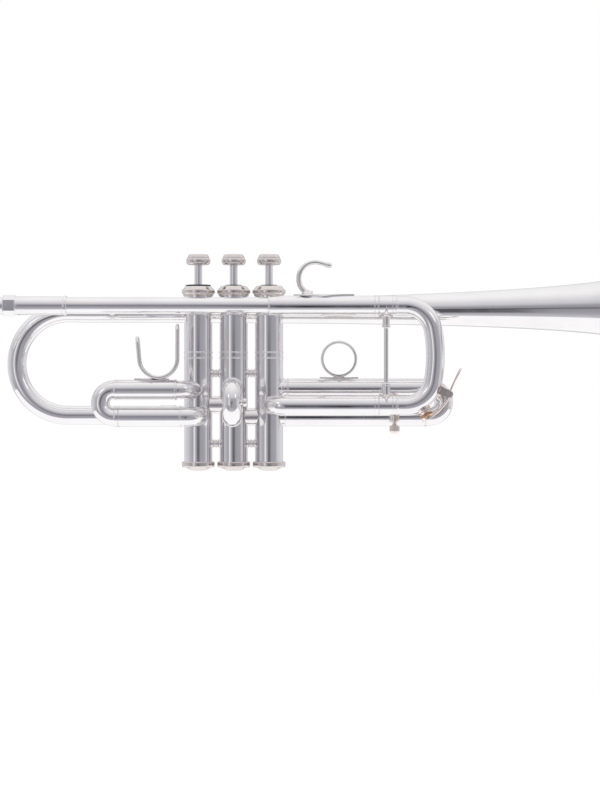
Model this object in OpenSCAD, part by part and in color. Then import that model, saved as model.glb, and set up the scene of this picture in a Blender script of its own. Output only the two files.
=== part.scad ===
// C trumpet: three piston valves, four slides, water key, one-piece bell and a mouthpiece.
// The origin is on the second valve's axis, at half the height of the valve block.
// +X runs towards the bell, +Z towards the finger buttons, and the bell side is +Y.

/* [Tubing] */
// Bore of the valve and slide tubing
bore_d = 11.7; // [11.6:0.05:11.8]
// Outside of an inner slide leg
leg_od = 12.7; // [12.6:0.05:12.75]
// Outside of an outer slide sleeve
sleeve_od = 13.8; // [13.6:0.1:14.0]
// Running gap between a leg and its sleeve, on the radius
slide_gap = 0.05; // [0.03:0.01:0.08]
// Outside of the bent bows and crooks
bow_od = 12.9; // [12.8:0.05:13.0]
// Wall of the bent tubes
wall = 0.6; // [0.5:0.05:0.65]
// Outside of the leadpipe
leadpipe_od = 11.8; // [11.6:0.1:12.0]
// Outside of the short tubes between the valves
knuckle_od = 12.2; // [11.8:0.1:12.4]

/* [Layout] */
// Distance of the leadpipe and main slide plane from the valve line
lead_y = 18.5; // [18.3:0.1:19]
// Distance of the bell from the valve line
bell_y = 20; // [19.8:0.1:20.5]
// Height of the leadpipe
lead_z = 49.5; // [49:0.1:50]
// Height of the main slide's lower leg
main_low_z = -19.5; // [-20:0.1:-19.4]
// Height of the bell's tail
tail_z = -26.5; // [-26.6:0.1:-26]
// Height of the upper legs of the second and third slides
hi_z = -7.6; // [-7.7:0.1:-7.4]
// Height of the lower legs of the second and third slides
lo_z = -27.1; // [-27.3:0.1:-27]
// Height of the first slide's upper leg
first_hi_z = -8.7; // [-8.8:0.1:-8.6]
// Height of the first slide's lower leg
first_lo_z = -27.3; // [-27.4:0.1:-27.2]

/* [Valves] */
// Spacing of the valves
valve_pitch = 24.75; // [24.6:0.05:25]
// Outside of a valve casing
casing_od = 19.5; // [19.4:0.05:19.6]
// Outside of a piston
piston_od = 16.9; // [16.8:0.05:16.95]
// Running gap round a piston, on the radius
piston_gap = 0.05; // [0.03:0.01:0.08]
// Travel of a valve
stroke = 14; // [13.5:0.1:14]
// Top of the casings
casing_top = 60.8; // [60.5:0.1:61]
// Bottom of the casings
casing_bottom = -61.5; // [-61.6:0.1:-61]
// Diameter of a finger button
button_d = 16.9; // [16:0.1:17.5]
// Diameter of a valve stem
stem_d = 5.5; // [5:0.1:5.8]

/* [Bell] */
// Diameter of the bell at its rim
rim_d = 122.2; // [121:0.2:124]
// Place of the rim along the trumpet
rim_x = 344; // [342:1:348]
// Rise of the bell's axis towards the rim, in degrees
bell_rise = 0.53; // [0.4:0.01:0.6]
// Distance from the rim to where the flare would become endless
flare_offset = 20; // [19:0.5:21]
// Power of the flare's curve
flare_power = 0.73; // [0.72:0.005:0.74]
// Outside of the bell's bent tail
bell_tail_od = 13.2; // [13:0.1:13.3]
// Middle of the bell's bow along the trumpet
bell_bow_x = -117.9; // [-120:0.1:-116]

/* [Slides] */
// Left end of the main slide's sleeves
sleeve_x = 24.3; // [24:0.1:26]
// Open end of the main slide's sleeves
main_end_x = 101.1; // [100:0.1:101.2]
// Right end of the main slide's ferrules
ferrule_x = 114.2; // [113:0.1:115]
// Where the main bow starts to turn
main_turn_x = 118.8; // [118:0.1:119]
// Radius of the main bow's corners
main_corner_r = 21.3; // [20.5:0.1:22]
// Middle of the first slide's crook
first_crook_x = -82.4; // [-83:0.1:-81]
// Middle of the third slide's crook
third_crook_x = 137.2; // [136:0.1:138]
// Middle of the second slide's crook, towards the player's right
second_crook_y = -37.5; // [-38:0.1:-37]

/* [Mouthpiece] */
// Length of the mouthpiece
mouthpiece_l = 88; // [87:0.5:90]
// Length of the shank inside the receiver
shank_in = 24; // [22:0.5:25]
// Mouth of the receiver
receiver_x = -159.1; // [-160:0.1:-158]

/* [Fittings] */
// Middle of the finger ring along the third slide
ring_x = 73.7; // [72:0.1:75]
// Outside of the finger ring
ring_od = 25.5; // [25:0.1:26]
// Middle of the thumb saddle along the first slide
saddle_x = -51.6; // [-53:0.1:-51]
// Middle of the finger hook's curve
hook_x = 56.9; // [55:0.1:58]
// Place of the brace across the main slide
brace_x = 106; // [105.8:0.1:107]
// Place of the lyre holder on the third slide
stop_x = 112.2; // [111:0.1:113]

/* [Hidden] */
$fn = 64;
valves = [1, 2, 3];

silver = "#c9c8cc";
warm_silver = "#b9aea8";
felt_black = "#262427";
pearl_white = "#ece8e2";
cork_brown = "#b8722c";
spring_steel = "#9a9a9d";

sleeve_id = leg_od + 2 * slide_gap;
bow_id = bow_od - 2 * wall;
casing_id = piston_od + 2 * piston_gap;
lead_plane = -lead_y;
joint_gap = 0.3;      // between a ferrule and the sleeve that it closes on
sink = 2;             // how far a tool reaches past the face that it cuts
bead_h = 0.4;         // how proud a turned bead stands

// Vertical places inside the valves
stem_foot_z = 58;
spring_low_z = 22.4;
spring_high_z = 55.2;
guide_z = 20;
guide_h = 2.2;
piston_top = 17;
piston_bottom = -37.5;
passage_d = 10.4;
port_d = 11.2;
cross_32_z = -27.5;
cross_21_z = -19.1;
main_port_x = valve_pitch + 2.75;

// The first slide's upper leg turns into its valve at this angle
first_turn_a = 63;
first_turn_r = 6.9;
first_turn_x = -valve_pitch - first_turn_r * sin(first_turn_a)
    - (lead_y - first_turn_r * (1 - cos(first_turn_a))) / tan(first_turn_a);

function valve_x(n) = (n - 2) * valve_pitch;

// Ports of each valve as [angle, height]: way in, way out, upper slide leg, lower slide leg
valve_ports = [
    [[0, cross_21_z], [90, tail_z], [180 + first_turn_a, first_hi_z], [270, first_lo_z]],
    [[0, cross_32_z], [180, cross_21_z], [270, hi_z], [270, lo_z]],
    [[270, main_low_z], [180, cross_32_z], [0, hi_z], [0, lo_z]]
];
// The two pairs of ports that a pressed piston joins, as numbers in the list above
pressed_pairs = [[[0, 2], [1, 3]], [[1, 2], [0, 3]], [[0, 2], [1, 3]]];

// ---- shapes that repeat ----

module ring_outline(od, id) {
    difference() {
        circle(d = od);
        circle(d = id);
    }
}

module rod_x(x0, x1, d) {
    translate([x0, 0, 0]) rotate([0, 90, 0]) cylinder(h = x1 - x0, d = d);
}

module tube_x(x0, x1, od, id) {
    difference() {
        rod_x(x0, x1, od);
        rod_x(x0 - sink, x1 + sink, id);
    }
}

module rod_y(y0, y1, d) {
    translate([0, y0, 0]) rotate([-90, 0, 0]) cylinder(h = y1 - y0, d = d);
}

module tube_y(y0, y1, od, id) {
    difference() {
        rod_y(y0, y1, od);
        rod_y(y0 - sink, y1 + sink, id);
    }
}

// A bend in the XZ plane about the origin, with angles from +X towards +Z
module bend_xz(r, a0, a1, od, id) {
    rotate([90, 0, 0]) rotate([0, 0, a0]) rotate_extrude(angle = a1 - a0)
        translate([r, 0]) ring_outline(od, id);
}

// A bend in the XY plane about the origin, with angles from +X towards +Y
module bend_xy(r, a0, a1, od, id) {
    rotate([0, 0, a0]) rotate_extrude(angle = a1 - a0) translate([r, 0]) ring_outline(od, id);
}

// A bend in the YZ plane about the origin, with angles from -Y towards +Z
module bend_yz(r, a0, a1, od, id) {
    rotate([0, 0, -90]) bend_xz(r, a0, a1, od, id);
}

module turned_x(outline) {
    rotate([0, 90, 0]) rotate_extrude() polygon(outline);
}

module casing_envelope(n) {
    translate([valve_x(n), 0, casing_bottom]) cylinder(h = casing_top - casing_bottom, d = casing_od);
}

// A thin diamond plate wrapped on top of a tube that lies along X, about the origin
module diamond_plate(tube_od, length, half_w, thick) {
    difference() {
        intersection() {
            rod_x(-length, length, tube_od + 2 * thick);
            linear_extrude(tube_od)
                polygon([[-length / 2, 0], [0, -half_w], [length / 2, 0], [0, half_w]]);
        }
        rod_x(-length - sink, length + sink, tube_od);
    }
}

// A closed wire coil about Z, swept as one tube
function coil_point(i, steps, turns, r, z0, z1) =
    [r * cos(360 * turns * i / steps), r * sin(360 * turns * i / steps), z0 + (z1 - z0) * i / steps];

module coil(r, wire, z0, z1, turns, steps) {
    sides = 8;
    points = [for (i = [0 : steps], k = [0 : sides - 1])
        let (c = coil_point(i, steps, turns, r, z0 + wire / 2, z1 - wire / 2),
             a = 360 * turns * i / steps,
             u = wire / 2 * cos(360 * k / sides),
             v = wire / 2 * sin(360 * k / sides))
        [c[0] + u * cos(a), c[1] + u * sin(a), c[2] + v]];
    side_faces = [for (i = [0 : steps - 1], k = [0 : sides - 1])
        let (k2 = (k + 1) % sides)
        [i * sides + k, (i + 1) * sides + k, (i + 1) * sides + k2, i * sides + k2]];
    start_face = [for (k = [0 : sides - 1]) k];
    end_face = [for (k = [sides - 1 : -1 : 0]) steps * sides + k];
    polyhedron(points, concat(side_faces, [start_face, end_face]), convexity = 10);
}

// ---- mouthpiece, receiver and leadpipe ----

module mouthpiece() {
    shank_end_r = 4.98;
    shank_mouth_r = 5.6;
    seat = mouthpiece_l - shank_in;
    outside = [
        [9.6, 0], [12.2, 0.4], [13.4, 1.6], [13.7, 3.2], [13.5, 8], [13, 13], [11.8, 18],
        [9.4, 23], [6.9, 27], [5.6, 31], [5.2, 36], [5.4, 42], [5.8, 50], [shank_mouth_r + 0.2, seat - 2],
        [shank_mouth_r, seat], [shank_end_r, mouthpiece_l]
    ];
    inside = [
        [4.3, mouthpiece_l], [3.1, 60], [2.3, 35], [1.83, 22], [1.83, 14.5], [2.6, 12.6],
        [5.4, 10.6], [7.2, 7.4], [8.0, 3.6], [8.35, 1.4]
    ];
    color(silver) translate([receiver_x - seat, lead_plane, lead_z]) turned_x(concat(outside, inside));
}

module receiver() {
    collar_l = 9;
    collar_across = 15.1;
    body_od = 13;
    body_end_x = -114.8;
    leadpipe_in_x = -131;
    color(silver) translate([0, lead_plane, lead_z]) difference() {
        union() {
            translate([receiver_x, 0, 0]) rotate([0, 90, 0]) cylinder(h = collar_l, d = collar_across, $fn = 6);
            rod_x(receiver_x + collar_l, body_end_x, body_od);
            rod_x(body_end_x - 1.6, body_end_x, body_od + 2 * bead_h);
        }
        translate([receiver_x - 0.01, 0, 0]) rotate([0, 90, 0])
            cylinder(h = shank_in + 0.02, r1 = 5.66, r2 = 5.04);
        rod_x(receiver_x + shank_in - 1, leadpipe_in_x + 1, 9.2);
        rod_x(leadpipe_in_x, body_end_x + sink, leadpipe_od + 0.1);
    }
}

module leadpipe() {
    start_x = -131;
    end_x = 30;
    color(silver) translate([0, lead_plane, lead_z]) difference() {
        rod_x(start_x, end_x, leadpipe_od);
        translate([start_x - 0.01, 0, 0]) rotate([0, 90, 0])
            cylinder(h = end_x - start_x + 0.02, d1 = 9.2, d2 = 11);
    }
}

// ---- main tuning slide ----

module end_beads(x) {
    bead_w = 0.8;
    rod_x(x - 3.5, x - 3.5 + bead_w, sleeve_od + 2 * bead_h);
    rod_x(x - bead_w, x, sleeve_od + 2 * bead_h);
}

module main_sleeve_upper() {
    collar_w = 1.4;
    color(silver) translate([0, lead_plane, lead_z]) difference() {
        union() {
            rod_x(sleeve_x, main_end_x, sleeve_od);
            rod_x(sleeve_x, sleeve_x + collar_w, sleeve_od + 2 * bead_h);
            end_beads(main_end_x);
        }
        rod_x(sleeve_x - sink, sleeve_x + collar_w + sink, leadpipe_od);
        rod_x(sleeve_x + collar_w, main_end_x + sink, sleeve_id);
    }
}

module main_sleeve_lower() {
    turn_r = 8.5;
    color(silver) difference() {
        union() {
            translate([0, lead_plane, main_low_z]) difference() {
                union() {
                    rod_x(main_port_x + turn_r, main_end_x, sleeve_od);
                    end_beads(main_end_x);
                }
                rod_x(main_port_x + turn_r - sink, main_end_x + sink, sleeve_id);
            }
            translate([main_port_x + turn_r, lead_plane + turn_r, main_low_z])
                bend_xy(turn_r, 180, 270, sleeve_od, sleeve_id);
            translate([main_port_x, 0, main_low_z]) tube_y(lead_plane + turn_r, -4, sleeve_od, sleeve_id);
        }
        casing_envelope(3);
    }
}

module main_legs() {
    upper_start_x = 32;
    lower_start_x = 38;
    leg_end_x = 108;
    color(silver) {
        translate([0, lead_plane, lead_z]) tube_x(upper_start_x, leg_end_x, leg_od, bore_d);
        translate([0, lead_plane, main_low_z]) tube_x(lower_start_x, leg_end_x, leg_od, bore_d);
    }
}

low_corner_z = main_low_z + main_corner_r;
high_corner_z = lead_z - main_corner_r;

module main_bow_tube(od, id) {
    start_x = 108.2;
    translate([0, 0, lead_z]) tube_x(start_x, main_turn_x, od, id);
    translate([main_turn_x, 0, high_corner_z]) bend_xz(main_corner_r, 0, 90, od, id);
    translate([main_turn_x + main_corner_r, 0, low_corner_z]) difference() {
        cylinder(h = high_corner_z - low_corner_z, d = od);
        translate([0, 0, -sink]) cylinder(h = high_corner_z - low_corner_z + 2 * sink, d = id);
    }
    translate([main_turn_x, 0, low_corner_z]) bend_xz(main_corner_r, -90, 0, od, id);
    translate([0, 0, main_low_z]) tube_x(start_x, main_turn_x, od, id);
}

// A frame whose -Z points outwards from the main bow's lower corner, at this angle from straight down
module on_low_corner(angle) {
    translate([main_turn_x, lead_plane, low_corner_z]) rotate([0, -angle, 0]) children();
}

module low_corner_envelope() {
    translate([main_turn_x, lead_plane, low_corner_z]) rotate([90, 0, 0]) rotate([0, 0, -100])
        rotate_extrude(angle = 120) translate([main_corner_r, 0]) circle(d = bow_od);
}

nipple_a = 29;
nipple_hole = 3.4;
bow_out = main_corner_r + bow_od / 2;

module main_bow() {
    color(silver) difference() {
        translate([0, lead_plane, 0]) main_bow_tube(bow_od, bow_id);
        on_low_corner(nipple_a) translate([0, 0, -bow_out - 1]) cylinder(h = 3, d = nipple_hole);
    }
}

module main_ferrules() {
    color(silver) for (z = [lead_z, main_low_z]) translate([0, lead_plane, z]) difference() {
        union() {
            rod_x(main_end_x + joint_gap, ferrule_x, sleeve_od);
            rod_x(ferrule_x - 2.2, ferrule_x - 1.5, sleeve_od + bead_h);
            rod_x(ferrule_x - 0.7, ferrule_x, sleeve_od + bead_h);
        }
        rod_x(main_end_x - sink, ferrule_x + sink, bow_od);
    }
}

module main_brace() {
    rod_d = 3.1;
    socket_d = 5.4;
    socket_h = 9.4;
    plate_t = 0.8;
    plate_half = 4.2;
    plate_rise = 6.6;
    top_z = lead_z - sleeve_od / 2;
    low_z = main_low_z + sleeve_od / 2;
    color(warm_silver) translate([brace_x, lead_plane, 0]) difference() {
        union() {
            translate([0, 0, low_z - 1]) cylinder(h = top_z - low_z + 2, d = rod_d);
            translate([0, 0, low_z - 1]) cylinder(h = socket_h, d = socket_d);
            translate([0, 0, top_z + 1 - socket_h]) cylinder(h = socket_h, d = socket_d);
            for (side = [[lead_z, 1], [main_low_z, -1]]) translate([0, 0, side[0]]) intersection() {
                rod_x(-plate_half, plate_half, sleeve_od + 2 * plate_t);
                rotate([90, 0, 0]) linear_extrude(30, center = true) polygon([
                    [-plate_half, -side[1] * 8], [plate_half, -side[1] * 8],
                    [0, side[1] * (plate_rise - sleeve_od / 2)]
                ]);
            }
        }
        translate([0, 0, lead_z]) rod_x(-20, 20, sleeve_od);
        translate([0, 0, main_low_z]) rod_x(-20, 20, sleeve_od);
    }
}

// ---- water key ----

pivot_a = 66;
pivot_out = 33.2;
ear_gap = 6.6;
ear_t = 1.4;
cork_d = 8.6;
cork_t = 3.6;
cork_out = bow_out + 3;

module at_pivot() {
    on_low_corner(pivot_a) translate([0, 0, -pivot_out]) children();
}

module water_key_seat() {
    nipple_d = 6.6;
    nipple_h = 2.8;
    flange_d = 9.4;
    flange_t = 0.9;
    pad_w = 8;
    color(warm_silver) {
        difference() {
            on_low_corner(nipple_a) difference() {
                union() {
                    translate([0, 0, -bow_out - nipple_h]) cylinder(h = nipple_h + 2, d = nipple_d);
                    translate([0, 0, -bow_out - flange_t]) cylinder(h = flange_t + 2, d = flange_d);
                }
                translate([0, 0, -bow_out - nipple_h - 1]) cylinder(h = nipple_h + 6, d = nipple_hole);
            }
            low_corner_envelope();
        }
        difference() {
            on_low_corner(pivot_a) union() {
                for (side = [-1, 1]) translate([0, side * (ear_gap + ear_t) / 2, -pivot_out]) {
                    translate([-2.2, -ear_t / 2, 0]) cube([4.4, ear_t, pivot_out - bow_out + 2]);
                    rod_y(-ear_t / 2, ear_t / 2, 4.8);
                }
                translate([-pad_w / 2, -(ear_gap + 2 * ear_t) / 2, -bow_out - flange_t])
                    cube([pad_w, ear_gap + 2 * ear_t, flange_t + 2.6]);
            }
            low_corner_envelope();
            at_pivot() rod_y(-10, 10, 2.2);
        }
    }
}

module water_key_screw() {
    color(silver) at_pivot() {
        rod_y(-ear_gap / 2 - ear_t - 0.1, ear_gap / 2 + ear_t + 0.6, 2);
        rod_y(-ear_gap / 2 - ear_t - 1.2, -ear_gap / 2 - ear_t - 0.1, 3.8);
    }
}

module water_key_spring() {
    color(spring_steel) at_pivot() rotate([-90, 0, 0]) coil(3.15, 0.45, 1.1, 3.1, 2.5, 40);
}

module water_key_lever() {
    barrel_d = 4.6;
    barrel_hole = 2.1;
    barrel_l = ear_gap - 0.6;
    arm_t = 1.6;
    arm_w = 2;
    cup_d = 10;
    cup_low = cork_out + cork_t + 0.8;
    tab_l = 20;
    tab_w = 9;
    tab_a = 62.8;
    color(warm_silver) difference() {
        union() {
            on_low_corner(nipple_a) translate([0, 0, -cup_low]) difference() {
                cylinder(h = 2.9, d = cup_d);
                translate([0, 0, 0.8]) cylinder(h = 4, d = cork_d + 0.1);
            }
            translate([main_turn_x, lead_plane, low_corner_z]) rotate([90, 0, 0])
                rotate([0, 0, nipple_a - 90]) rotate_extrude(angle = pivot_a - nipple_a)
                translate([cup_low - arm_t, -arm_w / 2]) square([arm_t, arm_w]);
            at_pivot() rod_y(-barrel_l / 2, 0.9, barrel_d);
            at_pivot() rotate([0, pivot_a - tab_a, 0]) translate([0, 0, -arm_t / 2]) union() {
                linear_extrude(arm_t) polygon([
                    [0, -2.4], [9, -2.4], [tab_l - tab_w / 2, -tab_w / 2],
                    [tab_l - tab_w / 2, tab_w / 2], [9, 0.9], [0, 0.9]
                ]);
                translate([tab_l - tab_w / 2, 0, 0]) cylinder(h = arm_t, d = tab_w);
            }
        }
        at_pivot() rod_y(-10, 10, barrel_hole);
        on_low_corner(nipple_a) translate([0, 0, -cork_out - cork_t]) cylinder(h = 6, d = cork_d + 0.1);
    }
}

module water_key_cork() {
    color(cork_brown) on_low_corner(nipple_a) translate([0, 0, -cork_out - cork_t])
        cylinder(h = cork_t, d = cork_d);
}

// ---- finger hook ----

module pinky_hook() {
    curve_r = 11.4;
    curve_z = 68.2;
    wire_d = 3.6;
    start_a = 75;
    end_a = 240;
    tip_l = 7;
    plate_l = 42;
    plate_shift = 6;
    color(silver) difference() {
        translate([hook_x, lead_plane, 0]) union() {
            translate([0, 0, curve_z]) {
                rotate([90, 0, 0]) rotate([0, 0, start_a]) rotate_extrude(angle = end_a - start_a)
                    translate([curve_r, 0]) circle(d = wire_d);
                rotate([0, -start_a, 0]) translate([curve_r, 0, -tip_l]) {
                    cylinder(h = tip_l, d = wire_d);
                    sphere(d = wire_d + 0.6);
                }
            }
            translate([curve_r * cos(end_a), 0, lead_z + 5]) cylinder(h = 5.2, d1 = 8.6, d2 = wire_d);
            translate([plate_shift, 0, lead_z]) diamond_plate(sleeve_od, plate_l, 4.6, 1.2);
        }
        translate([0, lead_plane, lead_z]) rod_x(sleeve_x, main_end_x, sleeve_od);
    }
}

// ---- bell ----

bell_bow_r = (lead_z - 3.5 - tail_z) / 2;
bell_bow_z = tail_z + bell_bow_r;
stem_start_x = bell_bow_x - bell_bow_r * sin(bell_rise);
stem_start_z = bell_bow_z + bell_bow_r * cos(bell_rise);
bell_l = (rim_x - stem_start_x) / cos(bell_rise);
bell_wall = 0.6;
bead_r = 1.2;
flare_core_r = 1;
flare_scale = (rim_d / 2 - flare_core_r) * pow(flare_offset, flare_power);
bell_steps = 30;
bell_end_x = -47;

function flare_r(d) = flare_core_r + flare_scale / pow(d + flare_offset, flare_power);
function bell_d(i) = (bell_l - 18) * pow(i / bell_steps, 2);

module in_bell_frame() {
    translate([stem_start_x, bell_y, stem_start_z]) rotate([0, -bell_rise, 0]) children();
}

module bell() {
    tail_r = bell_tail_od / 2;
    edge_r = rim_d / 2 - bead_h;
    outer = [for (i = [0 : bell_steps]) [min(flare_r(bell_d(i)), edge_r), bell_l - bell_d(i)]];
    inner = [for (i = [bell_steps : -1 : 0])
        [min(flare_r(bell_d(i)), edge_r) - bell_wall, bell_l - bell_d(i)]];
    color(silver) {
        in_bell_frame() {
            turned_x(concat(outer, [[tail_r, 0], [tail_r - bell_wall, 0]], inner));
            difference() {
                translate([bell_l - bead_r + 0.2, 0, 0]) rotate([0, 90, 0]) rotate_extrude($fn = 96)
                    translate([rim_d / 2 - bead_r, 0]) circle(r = bead_r, $fn = 24);
                translate([bell_l, 0, 0]) rotate([0, 90, 0]) cylinder(h = 5, d = rim_d + 10);
            }
        }
        translate([bell_bow_x, bell_y, bell_bow_z])
            bend_xz(bell_bow_r, 90 + bell_rise, 270, bell_tail_od, bell_tail_od - 2 * bell_wall);
        translate([0, bell_y, tail_z])
            tube_x(bell_bow_x, bell_end_x, bell_tail_od, bell_tail_od - 2 * bell_wall);
    }
}

module bell_elbow() {
    turn_r = 9.5;
    ferrule_l = 10;
    turn_x = -valve_pitch - turn_r;
    color(silver) difference() {
        union() {
            translate([0, bell_y, tail_z]) {
                tube_x(bell_end_x + 0.2, turn_x, bell_tail_od, bore_d);
                tube_x(bell_end_x - ferrule_l / 2, bell_end_x + ferrule_l / 2, bell_tail_od + 1.4, bell_tail_od);
            }
            translate([turn_x, bell_y - turn_r, tail_z]) bend_xy(turn_r, 0, 90, bell_tail_od, bore_d);
            translate([-valve_pitch, 0, tail_z]) tube_y(4, bell_y - turn_r, bell_tail_od, bore_d);
        }
        casing_envelope(1);
    }
}

module bell_braces() {
    rod_d = 4;
    boss_d = 11;
    rear_x = -86;
    front_x = 62;
    brace_z = lead_z - 2;
    color(silver) for (place = [[rear_x, leadpipe_od], [front_x, sleeve_od]]) {
        bell_r = flare_r((rim_x - place[0]) / cos(bell_rise));
        near_y = lead_plane + place[1] / 2;
        far_y = bell_y - bell_r;
        difference() {
            translate([place[0], 0, brace_z]) union() {
                rod_y(near_y - 2, far_y + 2, rod_d);
                rod_y(near_y - 2, near_y + 1, boss_d);
                rod_y(near_y + 1, near_y + 4, rod_d + 2);
                rod_y(far_y - 4, far_y - 1, rod_d + 2);
                rod_y(far_y - 1, far_y + 2, boss_d);
            }
            translate([0, lead_plane, lead_z]) rod_x(place[0] - 10, place[0] + 10, place[1]);
            in_bell_frame() rod_x(place[0] - stem_start_x - 10, place[0] - stem_start_x + 10, 2 * bell_r + 0.1);
        }
    }
}

// ---- valve block ----

module valve_casing(n) {
    band_z = [17.5, 13.6];
    color(silver) translate([valve_x(n), 0, 0]) difference() {
        union() {
            translate([0, 0, casing_bottom]) cylinder(h = casing_top - casing_bottom, d = casing_od);
            for (z = band_z) translate([0, 0, z - 0.5]) cylinder(h = 1, d = casing_od + 2 * bead_h);
        }
        translate([0, 0, casing_bottom - sink])
            cylinder(h = casing_top - casing_bottom + 2 * sink, d = casing_id);
        for (port = valve_ports[n - 1]) {
            shift = n == 3 && port[0] == 270 ? main_port_x - valve_pitch : 0;
            translate([shift, 0, port[1]]) rotate([0, 90, port[0]]) cylinder(h = casing_od, d = port_d);
        }
    }
}

module valve_braces() {
    heights = [45.1, 2.8, -46.2];
    end_d = 6.6;
    waist_d = 4.4;
    color(warm_silver) for (gap = [-0.5, 0.5], z = heights) difference() {
        translate([gap * valve_pitch, 0, z]) {
            rod_x(-3.5, 3.5, waist_d);
            rod_x(-3.5, -1.7, end_d);
            rod_x(-0.6, 0.6, waist_d + 1.4);
            rod_x(1.7, 3.5, end_d);
        }
        for (n = valves) casing_envelope(n);
    }
}

module valve_knuckles() {
    reach = 5;
    color(warm_silver) for (way = [[-0.5, cross_21_z], [0.5, cross_32_z]]) difference() {
        translate([way[0] * valve_pitch, 0, way[1]]) tube_x(-reach, reach, knuckle_od, knuckle_od - 1);
        for (n = valves) casing_envelope(n);
    }
}

module top_cap(n) {
    outline = [
        [9.85, 56.9], [10.6, 56.9], [10.6, 58.4], [11.3, 58.8], [11.6, 59.5], [11.6, 60.6], [11.3, 61.3],
        [10.8, 61.7], [10.2, 62.8], [9.2, 63.7], [8.4, 64.1], [5.6, 64.1], [5.6, 62.7], [3.3, 62.7],
        [3.3, 61.2], [9.85, 61.2]
    ];
    color(warm_silver) translate([valve_x(n), 0, 0]) rotate_extrude() polygon(outline);
}

module bottom_cap(n) {
    outline = [
        [9.85, -58.8], [10.9, -58.8], [11.45, -59.5], [11.45, -61.6], [10.9, -62.9], [8, -63.1],
        [6.6, -64.2], [4.4, -64.9], [1.5, -65.1], [1.5, -63.6], [5.6, -63], [9.85, -61.8]
    ];
    color(warm_silver) translate([valve_x(n), 0, 0]) rotate_extrude() polygon(outline);
}

module cap_felts() {
    color(felt_black) for (n = valves) translate([valve_x(n), 0, 62.75]) difference() {
        cylinder(h = 1.6, d = 11);
        translate([0, 0, -sink]) cylinder(h = 6, d = stem_d + 1);
    }
}

module valve_guides() {
    bar_w = 4.2;
    color(warm_silver) for (n = valves) translate([valve_x(n), 0, guide_z]) difference() {
        intersection() {
            union() {
                translate([-10, -bar_w / 2, 0]) cube([20, bar_w, guide_h]);
                cylinder(h = guide_h, d = 12.6);
            }
            translate([0, 0, -1]) cylinder(h = guide_h + 2, d = casing_id - 0.04);
        }
        translate([0, 0, -sink]) cylinder(h = 10, d = 7);
    }
}

module piston_passage(from, to) {
    reach = 8;
    p = [piston_od / 2 * cos(from[0]), piston_od / 2 * sin(from[0]), from[1]];
    q = [piston_od / 2 * cos(to[0]), piston_od / 2 * sin(to[0]), to[1]];
    v = q - p;
    l = norm(v);
    translate(p - reach * v / l) rotate([0, acos(v[2] / l), atan2(v[1], v[0])])
        cylinder(h = l + 2 * reach, d = passage_d);
}

module piston(n) {
    barrel_od = 16;
    barrel_id = 13.4;
    lid_t = 2.5;
    slot_w = 5;
    ports = valve_ports[n - 1];
    color(warm_silver) translate([valve_x(n), 0, 0]) difference() {
        union() {
            translate([0, 0, piston_bottom]) cylinder(h = piston_top - piston_bottom, d = piston_od);
            translate([0, 0, piston_top]) cylinder(h = stem_foot_z - piston_top, d = barrel_od);
        }
        translate([0, 0, piston_top + 1]) cylinder(h = stem_foot_z - lid_t - piston_top - 1, d = barrel_id);
        translate([0, 0, stem_foot_z - lid_t - 1]) cylinder(h = 5, d = 4.2);
        translate([-10, -slot_w / 2, guide_z - 0.8]) cube([20, slot_w, guide_h + stroke + 1.8]);
        piston_passage(ports[0], ports[1]);
        for (pair = pressed_pairs[n - 1])
            piston_passage(ports[pair[0]] + [0, stroke], ports[pair[1]] + [0, stroke]);
    }
}

module valve_spring(n) {
    color(spring_steel) translate([valve_x(n), 0, 0]) coil(5.4, 0.9, spring_low_z, spring_high_z, 7, 112);
}

module valve_stem(n) {
    foot_d = 13;
    button_z = 78.75;
    color(silver) translate([valve_x(n), 0, 0]) {
        translate([0, 0, stem_foot_z - 2.4]) cylinder(h = 2.4, d = 4);
        translate([0, 0, stem_foot_z]) cylinder(h = 2.7, d = foot_d);
        translate([0, 0, stem_foot_z + 2.7]) cylinder(h = button_z - stem_foot_z - 2.7, d = stem_d);
        translate([0, 0, button_z]) cylinder(h = 3, d = 3.2);
    }
}

module button(n) {
    r = button_d / 2;
    outline = [
        [1.7, 78.75], [r - 1, 78.75], [r - 0.35, 79.6], [r, 81.2], [r - 0.1, 82.4], [r - 0.9, 83.6],
        [r - 1.3, 84.4], [r - 1.7, 85.7], [r - 2.2, 86.1], [6, 86.1], [6, 85.2], [1.7, 85.2]
    ];
    color(warm_silver) translate([valve_x(n), 0, 0]) rotate_extrude() polygon(outline);
}

module pearl(n) {
    color(pearl_white) translate([valve_x(n), 0, 85.25]) cylinder(h = 0.6, d = 11.9);
}

// ---- first slide ----

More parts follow.
